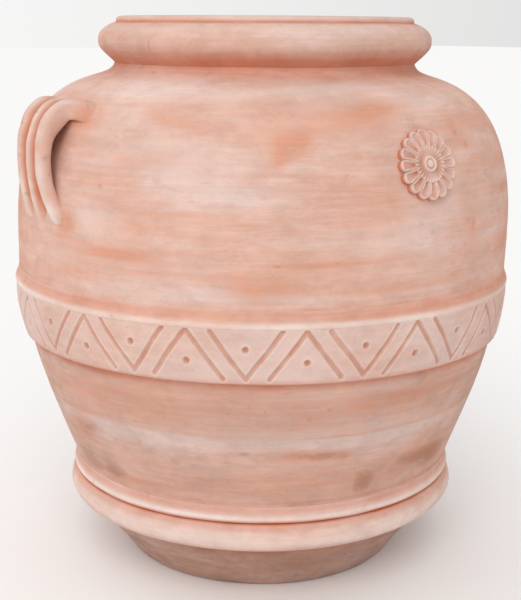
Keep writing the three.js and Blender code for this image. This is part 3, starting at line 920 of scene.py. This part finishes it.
def zigzag_tree():
    """Draws tents, vees and dots into the outer face of a band."""
    sockets = [(label, "NodeSocketFloat") for label in BELT_SOCKETS] + [("Material", "NodeSocketMaterial")]
    tree, into, out = geo_tree("Incised zigzag", sockets)
    get = into.outputs
    do, on = partial(maths, tree), partial(vectors, tree)
    place = node(tree, "GeometryNodeInputPosition").outputs[0]
    xyz = node(tree, "ShaderNodeSeparateXYZ", {0: place}).outputs
    turn = do("ARCTAN2", xyz[0], do("MULTIPLY", xyz[1], -1.0))

    def waver(scale, detail, share):
        noise = node(tree, "ShaderNodeTexNoise", {"Vector": place, "Scale": scale, "Detail": detail})
        return on("SCALE", on("SUBTRACT", noise.outputs["Color"], (0.5, 0.5, 0.5)), scale=share)

    slow = waver(17.0, 1.0, get["Waver"])
    quick = waver(120.0, 2.0, do("MULTIPLY", get["Waver"], 0.17))
    drift = node(tree, "ShaderNodeSeparateXYZ", {0: on("ADD", slow, quick)}).outputs
    # A tent stands round the middle of every repeat and a vee hangs at its ends.
    period = do("DIVIDE", 2 * math.pi, get["Repeats"])
    share = do("WRAP", do("DIVIDE", do("SUBTRACT", turn, get["Start angle"]), period), 0.5, -0.5)
    span = do("MULTIPLY", period, get["Band radius"])
    side = do("ABSOLUTE", do("ADD", do("MULTIPLY", share, span), drift[0]))
    level = do("ADD", xyz[2], drift[2])
    tent = combined(tree, side, level)
    vee = combined(tree, do("ABSOLUTE", do("SUBTRACT", do("MULTIPLY", span, 0.5), side)), level)
    top, foot = combined(tree, 0.0, get["High"]), combined(tree, 0.0, get["Low"])
    away = do(
        "MINIMUM",
        to_segment(tree, tent, top, combined(tree, get["Leg"], get["Low"])),
        to_segment(tree, vee, foot, combined(tree, get["Leg"], get["High"])),
    )
    spot = do(
        "MINIMUM",
        on("LENGTH", on("SUBTRACT", tent, combined(tree, 0.0, get["Dot low"]))),
        on("LENGTH", on("SUBTRACT", vee, combined(tree, 0.0, get["Dot high"]))),
    )
    half = do("MULTIPLY", get["Stroke width"], 0.5)
    uneven = node(tree, "ShaderNodeTexNoise", {"Vector": place, "Scale": 55.0, "Detail": 2.0}).outputs[0]
    depth = do("MULTIPLY", get["Stroke depth"], eased(tree, uneven, 0.3, 0.7, 0.72, 1.15))
    groove = do("MULTIPLY", depth, eased(tree, away, do("MULTIPLY", half, 0.42), half, 1.0, 0.0))
    round_dot = eased(tree, spot, do("MULTIPLY", get["Dot radius"], 0.40), get["Dot radius"], 1.0, 0.0)
    cut = do("MAXIMUM", groove, do("MULTIPLY", get["Dot depth"], round_dot))

    def lifted(distance, edge, width):
        """Clay pushed up beside a cut."""
        x = do("DIVIDE", do("SUBTRACT", distance, do("ADD", edge, width * 0.7)), width)
        return do("EXPONENT", do("MULTIPLY", do("MULTIPLY", x, x), -1.0))

    pushed = do("MAXIMUM", lifted(away, half, 0.95 * MM), lifted(spot, get["Dot radius"], 0.9 * MM))
    pushed = do("MULTIPLY", pushed, eased(tree, uneven, 0.7, 0.35, 0.35, 1.25))
    rise = do("SUBTRACT", do("MULTIPLY", pushed, get["Burr"]), cut)
    face = node(tree, "GeometryNodeInputNamedAttribute", {"Name": "face"}, data_type="FLOAT").outputs[0]
    outward = on("NORMALIZE", combined(tree, xyz[0], xyz[1]))
    offset = on("SCALE", outward, scale=do("MULTIPLY", rise, face))
    shown = do("MULTIPLY", do("DIVIDE", cut, get["Stroke depth"]), face)
    geometry = stored(tree, get["Geometry"], "cut", shown)
    geometry = stored(tree, geometry, "burr", do("MULTIPLY", pushed, face))
    geometry = node(tree, "GeometryNodeSetPosition", {"Geometry": geometry, "Offset": offset}).outputs[0]
    finished(tree, geometry, get["Material"], out)
    return tree


def repeat_tree():
    """Repeats one sector of a flower round the Z axis and welds the copies together."""
    sockets = [("Copies", "NodeSocketInt"), ("Weld", "NodeSocketFloat"), ("Material", "NodeSocketMaterial")]
    tree, into, out = geo_tree("Round the flower", sockets)
    get = into.outputs
    still = (0.0, 0.0, 0.0)
    middle = node(tree, "GeometryNodeMeshLine", {"Count": get["Copies"], "Offset": still}).outputs[0]
    step = maths(tree, "DIVIDE", 2 * math.pi, get["Copies"])
    turn = maths(tree, "MULTIPLY", node(tree, "GeometryNodeInputIndex").outputs[0], step)
    copies = node(
        tree,
        "GeometryNodeInstanceOnPoints",
        {"Points": middle, "Instance": get["Geometry"], "Rotation": combined(tree, 0.0, 0.0, turn)},
    ).outputs[0]
    finished(tree, copies, get["Material"], out, get["Weld"])
    return tree


def grown(mesh, tree, values):
    """Runs a geometry tree on a mesh and returns the result as a plain mesh."""
    holder = bpy.data.objects.new("work", mesh)
    bpy.context.scene.collection.objects.link(holder)
    modifier = holder.modifiers.new("grow", "NODES")
    modifier.node_group = tree
    for socket in tree.interface.items_tree:
        if socket.in_out == "INPUT" and socket.name in values:
            modifier[socket.identifier] = values[socket.name]
    holder.update_tag()
    bpy.context.view_layer.update()
    graph = bpy.context.evaluated_depsgraph_get()
    made = bpy.data.meshes.new_from_object(holder.evaluated_get(graph), depsgraph=graph)
    holder.modifiers.clear()
    bpy.data.objects.remove(holder)
    return made


def belt_clay():
    """Pale clay of the belt, with orange left in the strokes and chalk on the clay pushed up beside them."""
    material = clay("belt clay", base=0.50, pale=0.9, warm=0.2, bloom_and_highlight=0.8, gain=0.985, shift=5.0, streaks=0.6)
    tree = material.node_tree
    skin = next(n for n in tree.nodes if n.type == "BSDF_PRINCIPLED")
    colour = skin.inputs["Base Color"].links[0].from_socket
    c = colours()
    cut = maths(tree, "MULTIPLY", attribute(tree, "cut"), 0.62, clamp=True)
    pale_edges = maths(tree, "MULTIPLY", attribute(tree, "burr"), 0.35, clamp=True)
    colour = blended(tree, pale_edges, colour, rgba(c.bloom_and_highlight))
    colour = blended(tree, cut, colour, rgba(c.warm, 0.93))
    link(tree, colour, skin.inputs["Base Color"])
    return material


# Shares of the band's height where the strokes end and the dots sit, and how far a leg leans out as a
# share of a repeat.
STROKE_LOW, STROKE_HIGH = 0.105, 0.955
DOT_LOW, DOT_HIGH = 0.40, 0.645
LEG_SHARE = 0.304


class JAR_OT_belt(bpy.types.Operator):
    """Build the belt with its zigzag and dots, and the ridge along its top"""

    bl_idname = "jar.belt"
    bl_label = "Belt"

    def execute(self, context):
        s = sizes()
        material = belt_clay()
        height = BELT_HIGH - BELT_LOW
        base = wall_radius(BELT_LOW)
        face_low = base + 5.6 * MM
        face_high = wall_radius(BELT_HIGH) + 3.7 * MM
        shares = np.linspace(0, 1, 60)
        face_z = BELT_LOW + 1.4 * MM + (height - 1.4 * MM) * shares
        face_r = face_low + (face_high - face_low) * (1 - (1 - shares) ** 2.1)
        outline = np.vstack(
            [
                steps_from(base, BELT_LOW, [(-4, 0), (1.5, 0), (4.4, 0.15)]),
                np.stack([face_r, face_z], 1),
                steps_from(face_high, BELT_HIGH, [(-4, 0.5)]),
                steps_from(wall_radius(BELT_HIGH), BELT_HIGH, [(-4, 0.5)]),
            ]
        )
        mesh = spun("belt_band", outline, BELT_RING)
        face = np.zeros((len(outline), BELT_RING))
        face[3:-3] = 1.0
        store(mesh, "face", face.ravel())
        period = 2 * math.pi / s.repeats
        values = {
            "Repeats": float(s.repeats),
            "Start angle": ZIGZAG_START,
            "Band radius": float(face_high),
            "Low": BELT_LOW + STROKE_LOW * height,
            "High": BELT_LOW + STROKE_HIGH * height,
            "Leg": float(period * LEG_SHARE * face_high),
            "Stroke width": s.stroke_width,
            "Stroke depth": s.stroke_depth,
            "Burr": s.burr,
            "Dot radius": s.dot_radius,
            "Dot depth": s.dot_depth,
            "Dot low": BELT_LOW + DOT_LOW * height,
            "Dot high": BELT_LOW + DOT_HIGH * height,
            "Waver": 5.0 * MM,
            "Material": material,
        }
        add_piece("belt_band", grown(mesh, zigzag_tree(), values), ["belt_band"])

        top = wall_radius(RIDGE_TOP)
        rise = RIDGE_TOP - BELT_HIGH
        curve = steps_from(face_high, BELT_HIGH, [(-5, -1.4), (0.05, -1.2), (0.35, -0.2)])
        curve += steps_from(face_high, BELT_HIGH, [(1.1, 0.11), (1.4, 0.22), (0.9, 0.33)], rise)
        curve += steps_from(top, BELT_HIGH, [(2.3, 0.47), (1.3, 0.62), (0.6, 0.80)], rise)
        curve += steps_from(top, RIDGE_TOP, [(0.1, 0), (-0.5, 0.6), (-4, 0.6)])
        inside = dense([(top - 4.4 * MM, RIDGE_TOP), (face_high - 6 * MM, BELT_HIGH)], 6 * MM)
        mesh = spun("belt_ridge", np.vstack([rounded(curve, 1.2 * MM), inside]), RIDGE_RING)
        ridge_clay = clay("ridge clay", base=0.15, pale=0.7, warm=0.4, shift=5.0)
        add_piece("belt_ridge", mesh, ["belt_ridge"], ridge_clay)
        return {"FINISHED"}


# Middle line of a rib: distance in from the outermost point and down from the handle's top in mm,
# sideways spread, and the shares of full width and thickness. The outer ribs flare and drop where they
# are smeared on the shoulder.
RIB_STATIONS = (
    (74, 20, 1.62, 1.36, 1.00), (64, 13.2, 1.55, 1.33, 1.16), (54, 7.6, 1.46, 1.30, 1.22),
    (44, 4.0, 1.35, 1.24, 1.18), (34, 2.8, 1.22, 1.14, 1.20), (25, 5.0, 1.11, 1.05, 1.28),
    (16.6, 11.4, 1.04, 1.0, 1.38), (9.4, 20.4, 1.0, 1.0, 1.32), (3.0, 33, 1.0, 1.0, 1.12),
    (0.4, 50, 1.0, 1.0, 1.0), (0.8, 68, 1.02, 1.0, 1.0), (3.0, 83, 1.10, 1.0, 0.98),
    (6.4, 96, 1.22, 1.02, 0.96), (10.2, 108, 1.36, 1.02, 0.93), (13.2, 117, 1.44, 0.96, 0.86),
)


def catmull(points, count):
    """Smooth line through rows of numbers, with count points to each stretch."""
    p = np.vstack([2 * points[0] - points[1], points, 2 * points[-1] - points[-2]])
    t = np.linspace(0, 1, count, endpoint=False)[:, None]
    out = []
    for a, b, c, d in zip(p, p[1:], p[2:], p[3:]):
        square, cube = 2 * a - 5 * b + 4 * c - d, 3 * b - a - 3 * c + d
        out.append(0.5 * (2 * b + (c - a) * t + square * t**2 + cube * t**3))
    return np.vstack([*out, p[-2]])


def rib_line(side):
    """Middle line of a rib of handle A, with its half width and half thickness at every point."""
    s = sizes()
    inward, down, spread, wide, thick = catmull(np.array(RIB_STATIONS, float), 6).T
    flare = smooth((inward - 18) / 30) * (1.0 if side else 0.35)
    low = smooth((down - 80) / 34)
    outermost = -CAD_BOX[0].x - s.rib_thickness / 2 - 1.4 * MM
    across = side * s.rib_pitch * (spread + 0.25 * flare) - 1 * MM - (4.5 * MM * low if side < 0 else 0)
    level = SHOULDER_TOP - 25.5 * MM - (down * (1 if side else 1.06) + 3.0 * flare) * MM
    centre = np.stack([inward * MM - outermost, across, level], 1)
    half_w = wide * (1 + 0.42 * flare) * s.rib_pitch * 0.515
    half_t = thick * (1 + 0.20 * flare) * s.rib_thickness * 0.5
    return centre, half_w, half_t, flare, low


def rib_section(side, flare, low, square):
    """Outline of a rib across its line: round on a free edge, sinking into a valley beside its neighbour."""
    u = np.sin(np.linspace(-1, 1, 19) * math.pi / 2)
    joined = (1 - low) * np.where(u * side < 0, 1.0, 0.0 if side else 1.0) * np.clip(np.abs(u) * 1.6, 0, 1)
    free = np.maximum(1 - np.abs(u) ** (2.4 + 3.2 * square), 0) ** (1 / (2.2 + 1.4 * square))
    crown = (0.5 + 0.5 * np.cos(math.pi * np.minimum(np.abs(u) / 0.90, 1))) ** 0.85
    web = mix(0.22, 0.60, flare)
    top = mix(free, web + (1 - web) * crown, joined)
    bottom = -mix(free, 0.6 + 0.4 * np.sqrt(np.maximum(1 - u * u, 0)), joined)
    valley = joined * smooth((np.abs(u) - 0.26) / 0.50)
    across = np.concatenate([u, u[::-1]])
    return across, np.concatenate([top, bottom[::-1]]), np.concatenate([valley, 0.4 * valley[::-1]])


def rib_mesh(name, side, seed):
    """One rib: a roll of clay along its line, with a rounded lower tip and a smeared upper end."""
    centre, half_w, half_t, flare, low = rib_line(side)
    tangent = np.gradient(centre, axis=0)
    tangent /= np.linalg.norm(tangent, axis=1)[:, None]
    across = np.array([0.0, 1.0, 0.0]) - tangent * tangent[:, 1:2]
    across /= np.linalg.norm(across, axis=1)[:, None]
    outward = np.cross(across, tangent)
    run = np.concatenate([[0], np.cumsum(np.linalg.norm(np.diff(centre, axis=0), axis=1))])
    tip = np.maximum(np.sqrt(1 - (1 - np.clip((run[-1] - run) / (10 * MM), 0, 1)) ** 2), 0.03)
    x, z = centre[:, 0], centre[:, 2]
    square = smooth((x - x.min() - 4 * MM) / (16 * MM)) * (z > z.mean())
    rings, valleys, crowns = [], [], []
    for k in range(len(centre)):
        x, y, valley = rib_section(side, flare[k], low[k], square[k])
        droop = 5.5 * MM * flare[k] ** 2 * np.clip(x * side, 0, 1) ** 2
        x = (half_w[k] * tip[k] * x)[:, None]
        rings.append(centre[k] + across[k] * x + outward[k] * (half_t[k] * tip[k] * y - droop)[:, None])
        valleys.append(valley)
        crowns.append(np.clip(y, 0, 1) ** 3 * (1 - valley))
    around = len(rings[0])
    flat = np.concatenate(rings)
    lumps = layered(flat / (19 * MM) + seed, 31, 2) * 0.6 * MM
    lumps = lumps + layered(flat / (6 * MM) + seed, 41, 2) * 0.14 * MM
    from_line = flat - np.repeat(centre, around, axis=0)
    length = np.maximum(np.linalg.norm(from_line, axis=1), 1e-6)
    flat = flat + from_line / length[:, None] * (lumps * np.minimum(1, length / (5 * MM)))[:, None]
    flat = settled(np.vstack([flat, centre[:1], centre[-1:]]))
    mesh = new_mesh(name, flat, quads(len(centre), around, False, True) + fans(len(centre), around))
    ends = [0, 0]
    valley = np.concatenate([*valleys, ends])
    crown = np.concatenate([*crowns, ends])
    root = np.concatenate([np.repeat(flare, around), [1, 0]])
    foot = np.concatenate([np.repeat(low, around), [0, 1]])
    patchy = layered(flat / (24 * MM) + seed, 9, 3)
    # Valleys take painted shade with their orange clay; crowns take chalk and a painted highlight.
    store(mesh, "crease", 0.95 * valley * (1 + 0.3 * patchy) * (1 - 0.4 * root))
    store(mesh, "ridge", crown * np.clip(0.45 + 1.0 * patchy + 0.3 * foot, 0, 1.0) * (1 - 0.7 * root))
    own = np.clip(0.20 - 0.9 * patchy + 0.2 * smooth(root * 2) - 0.2 * crown, 0, 1)
    store(mesh, "warm", mix(own, smudged(flat, WARM_SMUDGES), smooth(root * 1.5 - 0.5)))
    own = np.clip(0.1 + 0.8 * layered(flat / (30 * MM) + seed, 14, 2), 0, 1) * crown
    store(mesh, "pale_wash", mix(own, smudged(flat, PALE_SMUDGES), root))
    store(mesh, "stain", np.clip(layered(flat / (8 * MM), 15, 3) * 1.3 - 0.3, 0, 0.6))
    return mesh


def handle_fillet(co):
    """Clay drawn up from the wall round the upper ends and the lower tips of the ribs."""
    total = np.zeros(len(co))
    for turned in (1, -1):
        x, y, z = co[:, 0] * -turned, np.abs(co[:, 1]), co[:, 2]
        near = np.where((x > 0.14) & (y < 0.09) & (z > 0.37) & (z < 0.535))[0]
        spot = co[near] * np.array([turned, turned, 1])
        lift = np.zeros(len(near))
        for side in (-1, 0, 1):
            centre, half_w, half_t, flare, low = rib_line(side)
            upper, lower = flare > 0.5 * flare.max(), low > 0.75
            for use, amount, spread in ((upper, 6.0 * MM, 10.0 * MM), (lower, 1.5 * MM, 2.8 * MM)):
                gap = np.linalg.norm(spot[:, None] - centre[use][None], axis=2)
                gap -= (0.5 * (half_w + half_t))[use][None]
                lift = np.maximum(lift, amount * np.exp(-np.maximum(gap.min(axis=1), 0) / spread))
        total[near] = np.maximum(total[near], lift)
    return total


def half_turn(mesh):
    mesh.transform(Matrix.Rotation(math.pi, 4, "Z"))
    return mesh


def outward_faces(mesh):
    """Turns every face outward on a closed shell."""
    work = bmesh.new()
    work.from_mesh(mesh)
    bmesh.ops.recalc_face_normals(work, faces=work.faces)
    work.to_mesh(mesh)
    work.free()


class JAR_OT_handles(bpy.types.Operator):
    """Build both strap handles, three ribs each"""

    bl_idname = "jar.handles"
    bl_label = "Handles"

    def execute(self, context):
        material = clay("handle clay", base=0.12, pale=0.6, warm=0.6, stain=0.9, bloom_and_highlight=0.95, streaks=0.3)
        for letter, turned in (("a", False), ("b", True)):
            for k, place in enumerate(("far", "middle", "near")):
                name = f"handle_{letter}_rib_{place}"
                mesh = rib_mesh(name, 1 - k, 3.1 * k + (20 if turned else 0))
                if turned:
                    half_turn(mesh)
                outward_faces(mesh)
                add_piece(name, mesh, [name], material)
        return {"FINISHED"}


def arc(radius, phi, height):
    """Points at angles phi round the Z axis."""
    return np.stack([radius * np.cos(phi), radius * np.sin(phi), height + 0 * phi], 1)


def petal_sector(copies, radius, height, heart):
    """One petal, flat, pointing along +X, with its share of the back and both rims."""
    half = math.pi / copies
    middle, bend = radius * 0.845, radius * 0.168
    columns, rows = 15, 22
    phi = np.linspace(-half, half, columns)
    lateral = middle * np.sin(np.abs(phi))
    edge = middle * np.cos(phi) + np.sqrt(np.maximum(bend**2 - lateral**2, (0.02 * radius) ** 2))
    top = []
    for share in np.linspace(0, 1, rows) ** 0.9:
        r = heart + (edge - heart) * share
        to_side = r * np.sin(half - np.abs(phi))
        to_tip = (edge - r) * 0.95
        e = np.minimum(to_side, to_tip)
        crest = np.exp(-(((e - 1.0 * MM) / (0.95 * MM)) ** 2))
        seam = np.exp(-((to_side / (0.55 * MM)) ** 2)) * 2.0 * MM * np.clip(share * 1.6, 0.35, 1)
        scoop = smooth((e - 1.1 * MM) / (2.4 * MM)) * mix(2.9 * MM, 1.7 * MM, share)
        roundness = 1.0 * MM * np.exp(-((to_tip / (0.8 * MM)) ** 2))
        h = height - 0.7 * MM + 0.9 * MM * crest - seam - scoop - roundness
        top.append(arc(r, phi, h))
    last = edge + 0.5 * MM
    skirts = [arc(last, phi, height * share) for share in (0.55, 0.2)]
    skirts.append(arc(edge + 1.1 * MM, phi, ROSETTE_BACK))
    grid = np.array([*top, *skirts, arc(heart, phi, ROSETTE_BACK)])
    return new_mesh("petal", grid.reshape(-1, 3), turned_over(quads(len(grid), columns, True)))


# The heart from its middle out, in mm for a heart 19.6 mm in radius: where its rows of points lie, its
# height over the petals' edge, and how far the rays stand out.
HEART_STOPS = (
    0.6, 1.6, 2.6, 3.4, 4.0, 4.5, 5.0, 5.5, 6.1, 6.9, 7.7, 8.3, 8.8, 9.5, 10.4, 11.5, 12.8, 14.1, 15.4, 16.5,
    17.4, 18.1, 18.7, 19.2, 19.6,
)
HEART_LEVELS = (
    (0, 1.3), (2.4, 1.1), (3.4, 0.5), (4.4, -1.3), (5.0, -1.2), (5.8, 0.2), (6.9, 0.75), (7.9, 0.1),
    (8.9, -1.9), (10.5, -1.9), (14, -1.0), (17.5, -0.2), (18.6, 0.2), (19.6, -1.4),
)
RAY_HEIGHTS = ((8.6, 0), (10.2, 1.5), (13, 1.75), (17, 1.7), (18.6, 1.1), (19.6, 0.6))


def heart_sector(copies, radius, height):
    """One ray of the heart, with its share of the boss and the ring."""
    half = math.pi / copies
    columns = 9
    phi = np.linspace(-half, half, columns)
    wave = np.cos(phi / half * math.pi) * 0.5 + 0.5
    stops = np.array(HEART_STOPS)
    level = np.interp(stops, *zip(*HEART_LEVELS))
    ray = np.interp(stops, *zip(*RAY_HEIGHTS))
    full = radius / (HEART_STOPS[-1] * MM)
    rows = []
    for r, h, amount in zip(stops, level, ray):
        end = r * (1 - 0.028 * (1 - wave) * (r > 17.8))
        lift = height + (h + amount * (wave**1.5 - 0.5)) * MM
        rows.append(arc(end * MM, phi, lift) * np.array([full, full, 1]))
    outer = rows[-1].copy()
    outer[:, 2] = ROSETTE_BACK
    grid = np.array([*rows, outer])
    co = np.vstack([grid.reshape(-1, 3), [[0, 0, height + 1.35 * MM], [0, 0, ROSETTE_BACK]]])
    faces = turned_over(quads(len(grid), columns))
    peak, bottom, last = len(co) - 2, len(co) - 1, (len(grid) - 1) * columns
    for j in range(columns - 1):
        faces.append([peak, j, j + 1])
        faces.append([bottom, last + j + 1, last + j])
    return new_mesh("ray", co, faces)


def press_on(mesh, seed):
    """Bends a flat flower that faces +Z onto the shoulder at -Y, uneven as a pressed sprig is."""
    co = np.empty(len(mesh.vertices) * 3)
    mesh.vertices.foreach_get("co", co)
    co = co.reshape(-1, 3)
    co[:, 2] += np.where(co[:, 2] > 0, layered(co / (9 * MM) + seed, 51, 2) * 0.35 * MM, 0)
    co[:, 0] += layered(co / (14 * MM) + seed, 52, 1) * 0.3 * MM
    co[:, 1] += layered(co / (14 * MM) + seed, 53, 1) * 0.3 * MM
    height, from_middle = co[:, 2].copy(), np.hypot(co[:, 0], co[:, 1])
    start = np.interp(ROSETTE_LEVEL, WALL_LINE[:, 1], WALL_RUN)
    r, z, nr, nz = on_wall(start + co[:, 1])
    turn = (co[:, 0] - 1.3 * MM) / wall_radius(ROSETTE_LEVEL)
    out = r + nr * height
    placed = settled(np.stack([out * np.sin(turn), -out * np.cos(turn), z + nz * height], 1))
    mesh.vertices.foreach_set("co", placed.ravel())
    mesh.update()
    top = sizes().rosette_height
    # Painted highlight and chalk on the rims; painted shade in the hollows, on the side walls and where the
    # petals meet the wall.
    store(mesh, "ridge", np.clip((height - top + 0.7 * MM) / (0.9 * MM), 0, 1) * 0.9)
    below = np.clip((top - 1.3 * MM - height) / (2.0 * MM), 0, 1)
    skirt = below * smooth((from_middle / sizes().rosette_radius - 0.93) / 0.05)
    seat = np.clip((2.5 * MM - height) / (3 * MM), 0, 1)
    store(mesh, "crease", np.clip(below * 0.34 + skirt * 0.5 + seat * 0.3, 0, 1))
    store(mesh, "warm", np.clip(0.35 + 0.8 * layered(placed / (12 * MM) + seed, 55, 2), 0, 1) * 0.5)
    tips = smooth((from_middle / (33 * MM) - 0.7) / 0.2)
    pale = 0.3 + 0.8 * layered(placed / (15 * MM) + seed, 56, 2) + 0.6 * tips
    store(mesh, "pale_wash", np.clip(pale, 0, 1.2))
    store(mesh, "stain", np.zeros(len(placed)))
    mesh.polygons.foreach_set("use_smooth", np.ones(len(mesh.polygons), bool))
    return mesh


HEART_SHARE = 0.545  # of the rosette's radius


class JAR_OT_rosettes(bpy.types.Operator):
    """Build both pressed rosettes, petals and heart"""

    bl_idname = "jar.rosettes"
    bl_label = "Rosettes"

    def execute(self, context):
        s = sizes()
        material = clay("rosette clay", base=0.2, pale=0.7, warm=0.25, stain=0.4, shift=9.0, streaks=0.1)
        heart = s.rosette_radius * HEART_SHARE
        tree = repeat_tree()
        for letter, turned in (("a", False), ("b", True)):
            seed = 4.0 if turned else 0.0
            petal = petal_sector(s.petals, s.rosette_radius, s.rosette_height, heart - 0.6 * MM)
            ray = heart_sector(s.rays, heart, s.rosette_height)
            sectors = (("petals", petal, s.petals), ("heart", ray, s.rays))
            for part, sector, copies in sectors:
                values = {"Copies": copies, "Weld": 0.04 * MM, "Material": material}
                mesh = grown(sector, tree, values)
                press_on(mesh, seed)
                if turned:
                    half_turn(mesh)
                outward_faces(mesh)
                name = f"rosette_{letter}_{part}"
                add_piece(name, mesh, [name])
        return {"FINISHED"}


# The camera's place, its turn, tilt and roll in degrees, and its lens in mm.
CAMERA_PLACE = (-0.7754, -1.0657, 0.588)
CAMERA_TURN, CAMERA_TILT, CAMERA_ROLL = -36, 13.1, 0.35
CAMERA_LENS = 70.14
FLOOR_HALF = 30
# The side that the studio wall behind darkens towards, and the way the soft light falls.
DIM_SIDE = (0.81, -0.59, 0.0)
LIGHT_FALL = (1.5, 1.7, -1.9)


class JAR_OT_stage(bpy.types.Operator):
    """Set the pale floor, the soft lights and the camera"""

    bl_idname = "jar.stage"
    bl_label = "Stage"

    def execute(self, context):
        scene = context.scene
        c = colours()
        corners = [(FLOOR_HALF * x, FLOOR_HALF * y, 0) for x, y in ((-1, -1), (1, -1), (1, 1), (-1, 1))]
        floor = new_mesh("floor", corners, [(0, 1, 2, 3)])
        paper = bpy.data.materials.new("floor paper")
        paper.use_nodes = True
        tree = paper.node_tree
        skin = next(n for n in tree.nodes if n.type == "BSDF_PRINCIPLED")
        fibre = node(tree, "ShaderNodeTexNoise", {"Scale": 3.0, "Detail": 3.0}).outputs[0]
        skin.inputs["Roughness"].default_value = 0.9
        skin.inputs["Specular IOR Level"].default_value = 0.1
        light = tuple(min(1.0, v + 0.015) for v in c.floor)
        link(tree, blended(tree, fibre, rgba(c.floor), rgba(light)), skin.inputs["Base Color"])
        floor.materials.append(paper)
        ground = bpy.data.objects.new("floor", floor)
        scene.collection.objects.link(ground)

        world = bpy.data.worlds.new("studio")
        scene.world = world
        world.use_nodes = True
        tree = world.node_tree
        back = tree.nodes["Background"]
        back.inputs["Color"].default_value = (1.0, 0.995, 0.99, 1)
        ahead = node(tree, "ShaderNodeTexCoord").outputs["Generated"]
        side = vectors(tree, "DOT_PRODUCT", ahead, DIM_SIDE)
        link(tree, eased(tree, side, -0.6, 0.95, 0.98, 0.60), back.inputs["Strength"])

        sun = bpy.data.lights.new("softbox", "SUN")
        sun.energy = 0.95
        sun.angle = math.radians(42)
        sun.color = (1.0, 0.985, 0.965)
        lamp = bpy.data.objects.new("softbox", sun)
        scene.collection.objects.link(lamp)
        lamp.location = (-1.5, -1.7, 2.2)
        lamp.rotation_euler = Vector(LIGHT_FALL).to_track_quat("-Z", "Y").to_euler()

        data = bpy.data.cameras.new("camera")
        data.sensor_width = 36
        data.lens = CAMERA_LENS
        data.clip_start, data.clip_end = 0.05, 100
        camera = bpy.data.objects.new("camera", data)
        scene.collection.objects.link(camera)
        turn, tilt, roll = (math.radians(angle) for angle in (CAMERA_TURN, CAMERA_TILT, CAMERA_ROLL))
        camera.location = CAMERA_PLACE
        ahead = Vector((-math.sin(turn) * math.cos(tilt), math.cos(turn) * math.cos(tilt), -math.sin(tilt)))
        right = Vector((math.cos(turn), math.sin(turn), 0))
        up = right.cross(ahead)
        right, up = right * math.cos(roll) + up * math.sin(roll), up * math.cos(roll) - right * math.sin(roll)
        camera.rotation_euler = Matrix((right, up, -ahead)).transposed().to_euler()
        scene.camera = camera
        scene.view_settings.view_transform = "Standard"
        scene.view_settings.look = "None"
        return {"FINISHED"}


class JAR_PT_sidebar(bpy.types.Panel):
    """Sizes, colours and pieces of the jar"""

    bl_idname = "JAR_PT_sidebar"
    bl_label = "Terracotta jar"
    bl_space_type = "VIEW_3D"
    bl_region_type = "UI"
    bl_category = "Jar"

    def draw(self, context):
        layout = self.layout
        for group in (context.scene.jar_sizes, context.scene.jar_colours):
            box = layout.box()
            for name in group.__annotations__:
                box.prop(group, name)
        for operator in OPERATORS:
            layout.operator(operator.bl_idname)


OPERATORS = (
    JAR_OT_foot,
    JAR_OT_wall,
    JAR_OT_belt,
    JAR_OT_rim,
    JAR_OT_handles,
    JAR_OT_rosettes,
    JAR_OT_stage,
)
CLASSES = (JarSizes, JarColours, *OPERATORS, JAR_PT_sidebar)


def register():
    for item in CLASSES:
        bpy.utils.register_class(item)
    bpy.types.Scene.jar_sizes = bpy.props.PointerProperty(type=JarSizes)
    bpy.types.Scene.jar_colours = bpy.props.PointerProperty(type=JarColours)


def unregister():
    del bpy.types.Scene.jar_colours
    del bpy.types.Scene.jar_sizes
    for item in reversed(CLASSES):
        bpy.utils.unregister_class(item)


def main():
    register()
    bpy.ops.jar.foot()
    bpy.ops.jar.wall()
    bpy.ops.jar.belt()
    bpy.ops.jar.rim()
    bpy.ops.jar.handles()
    bpy.ops.jar.rosettes()
    bpy.ops.jar.stage()
    bpy.context.view_layer.update()


if __name__ == "__main__":
    main()
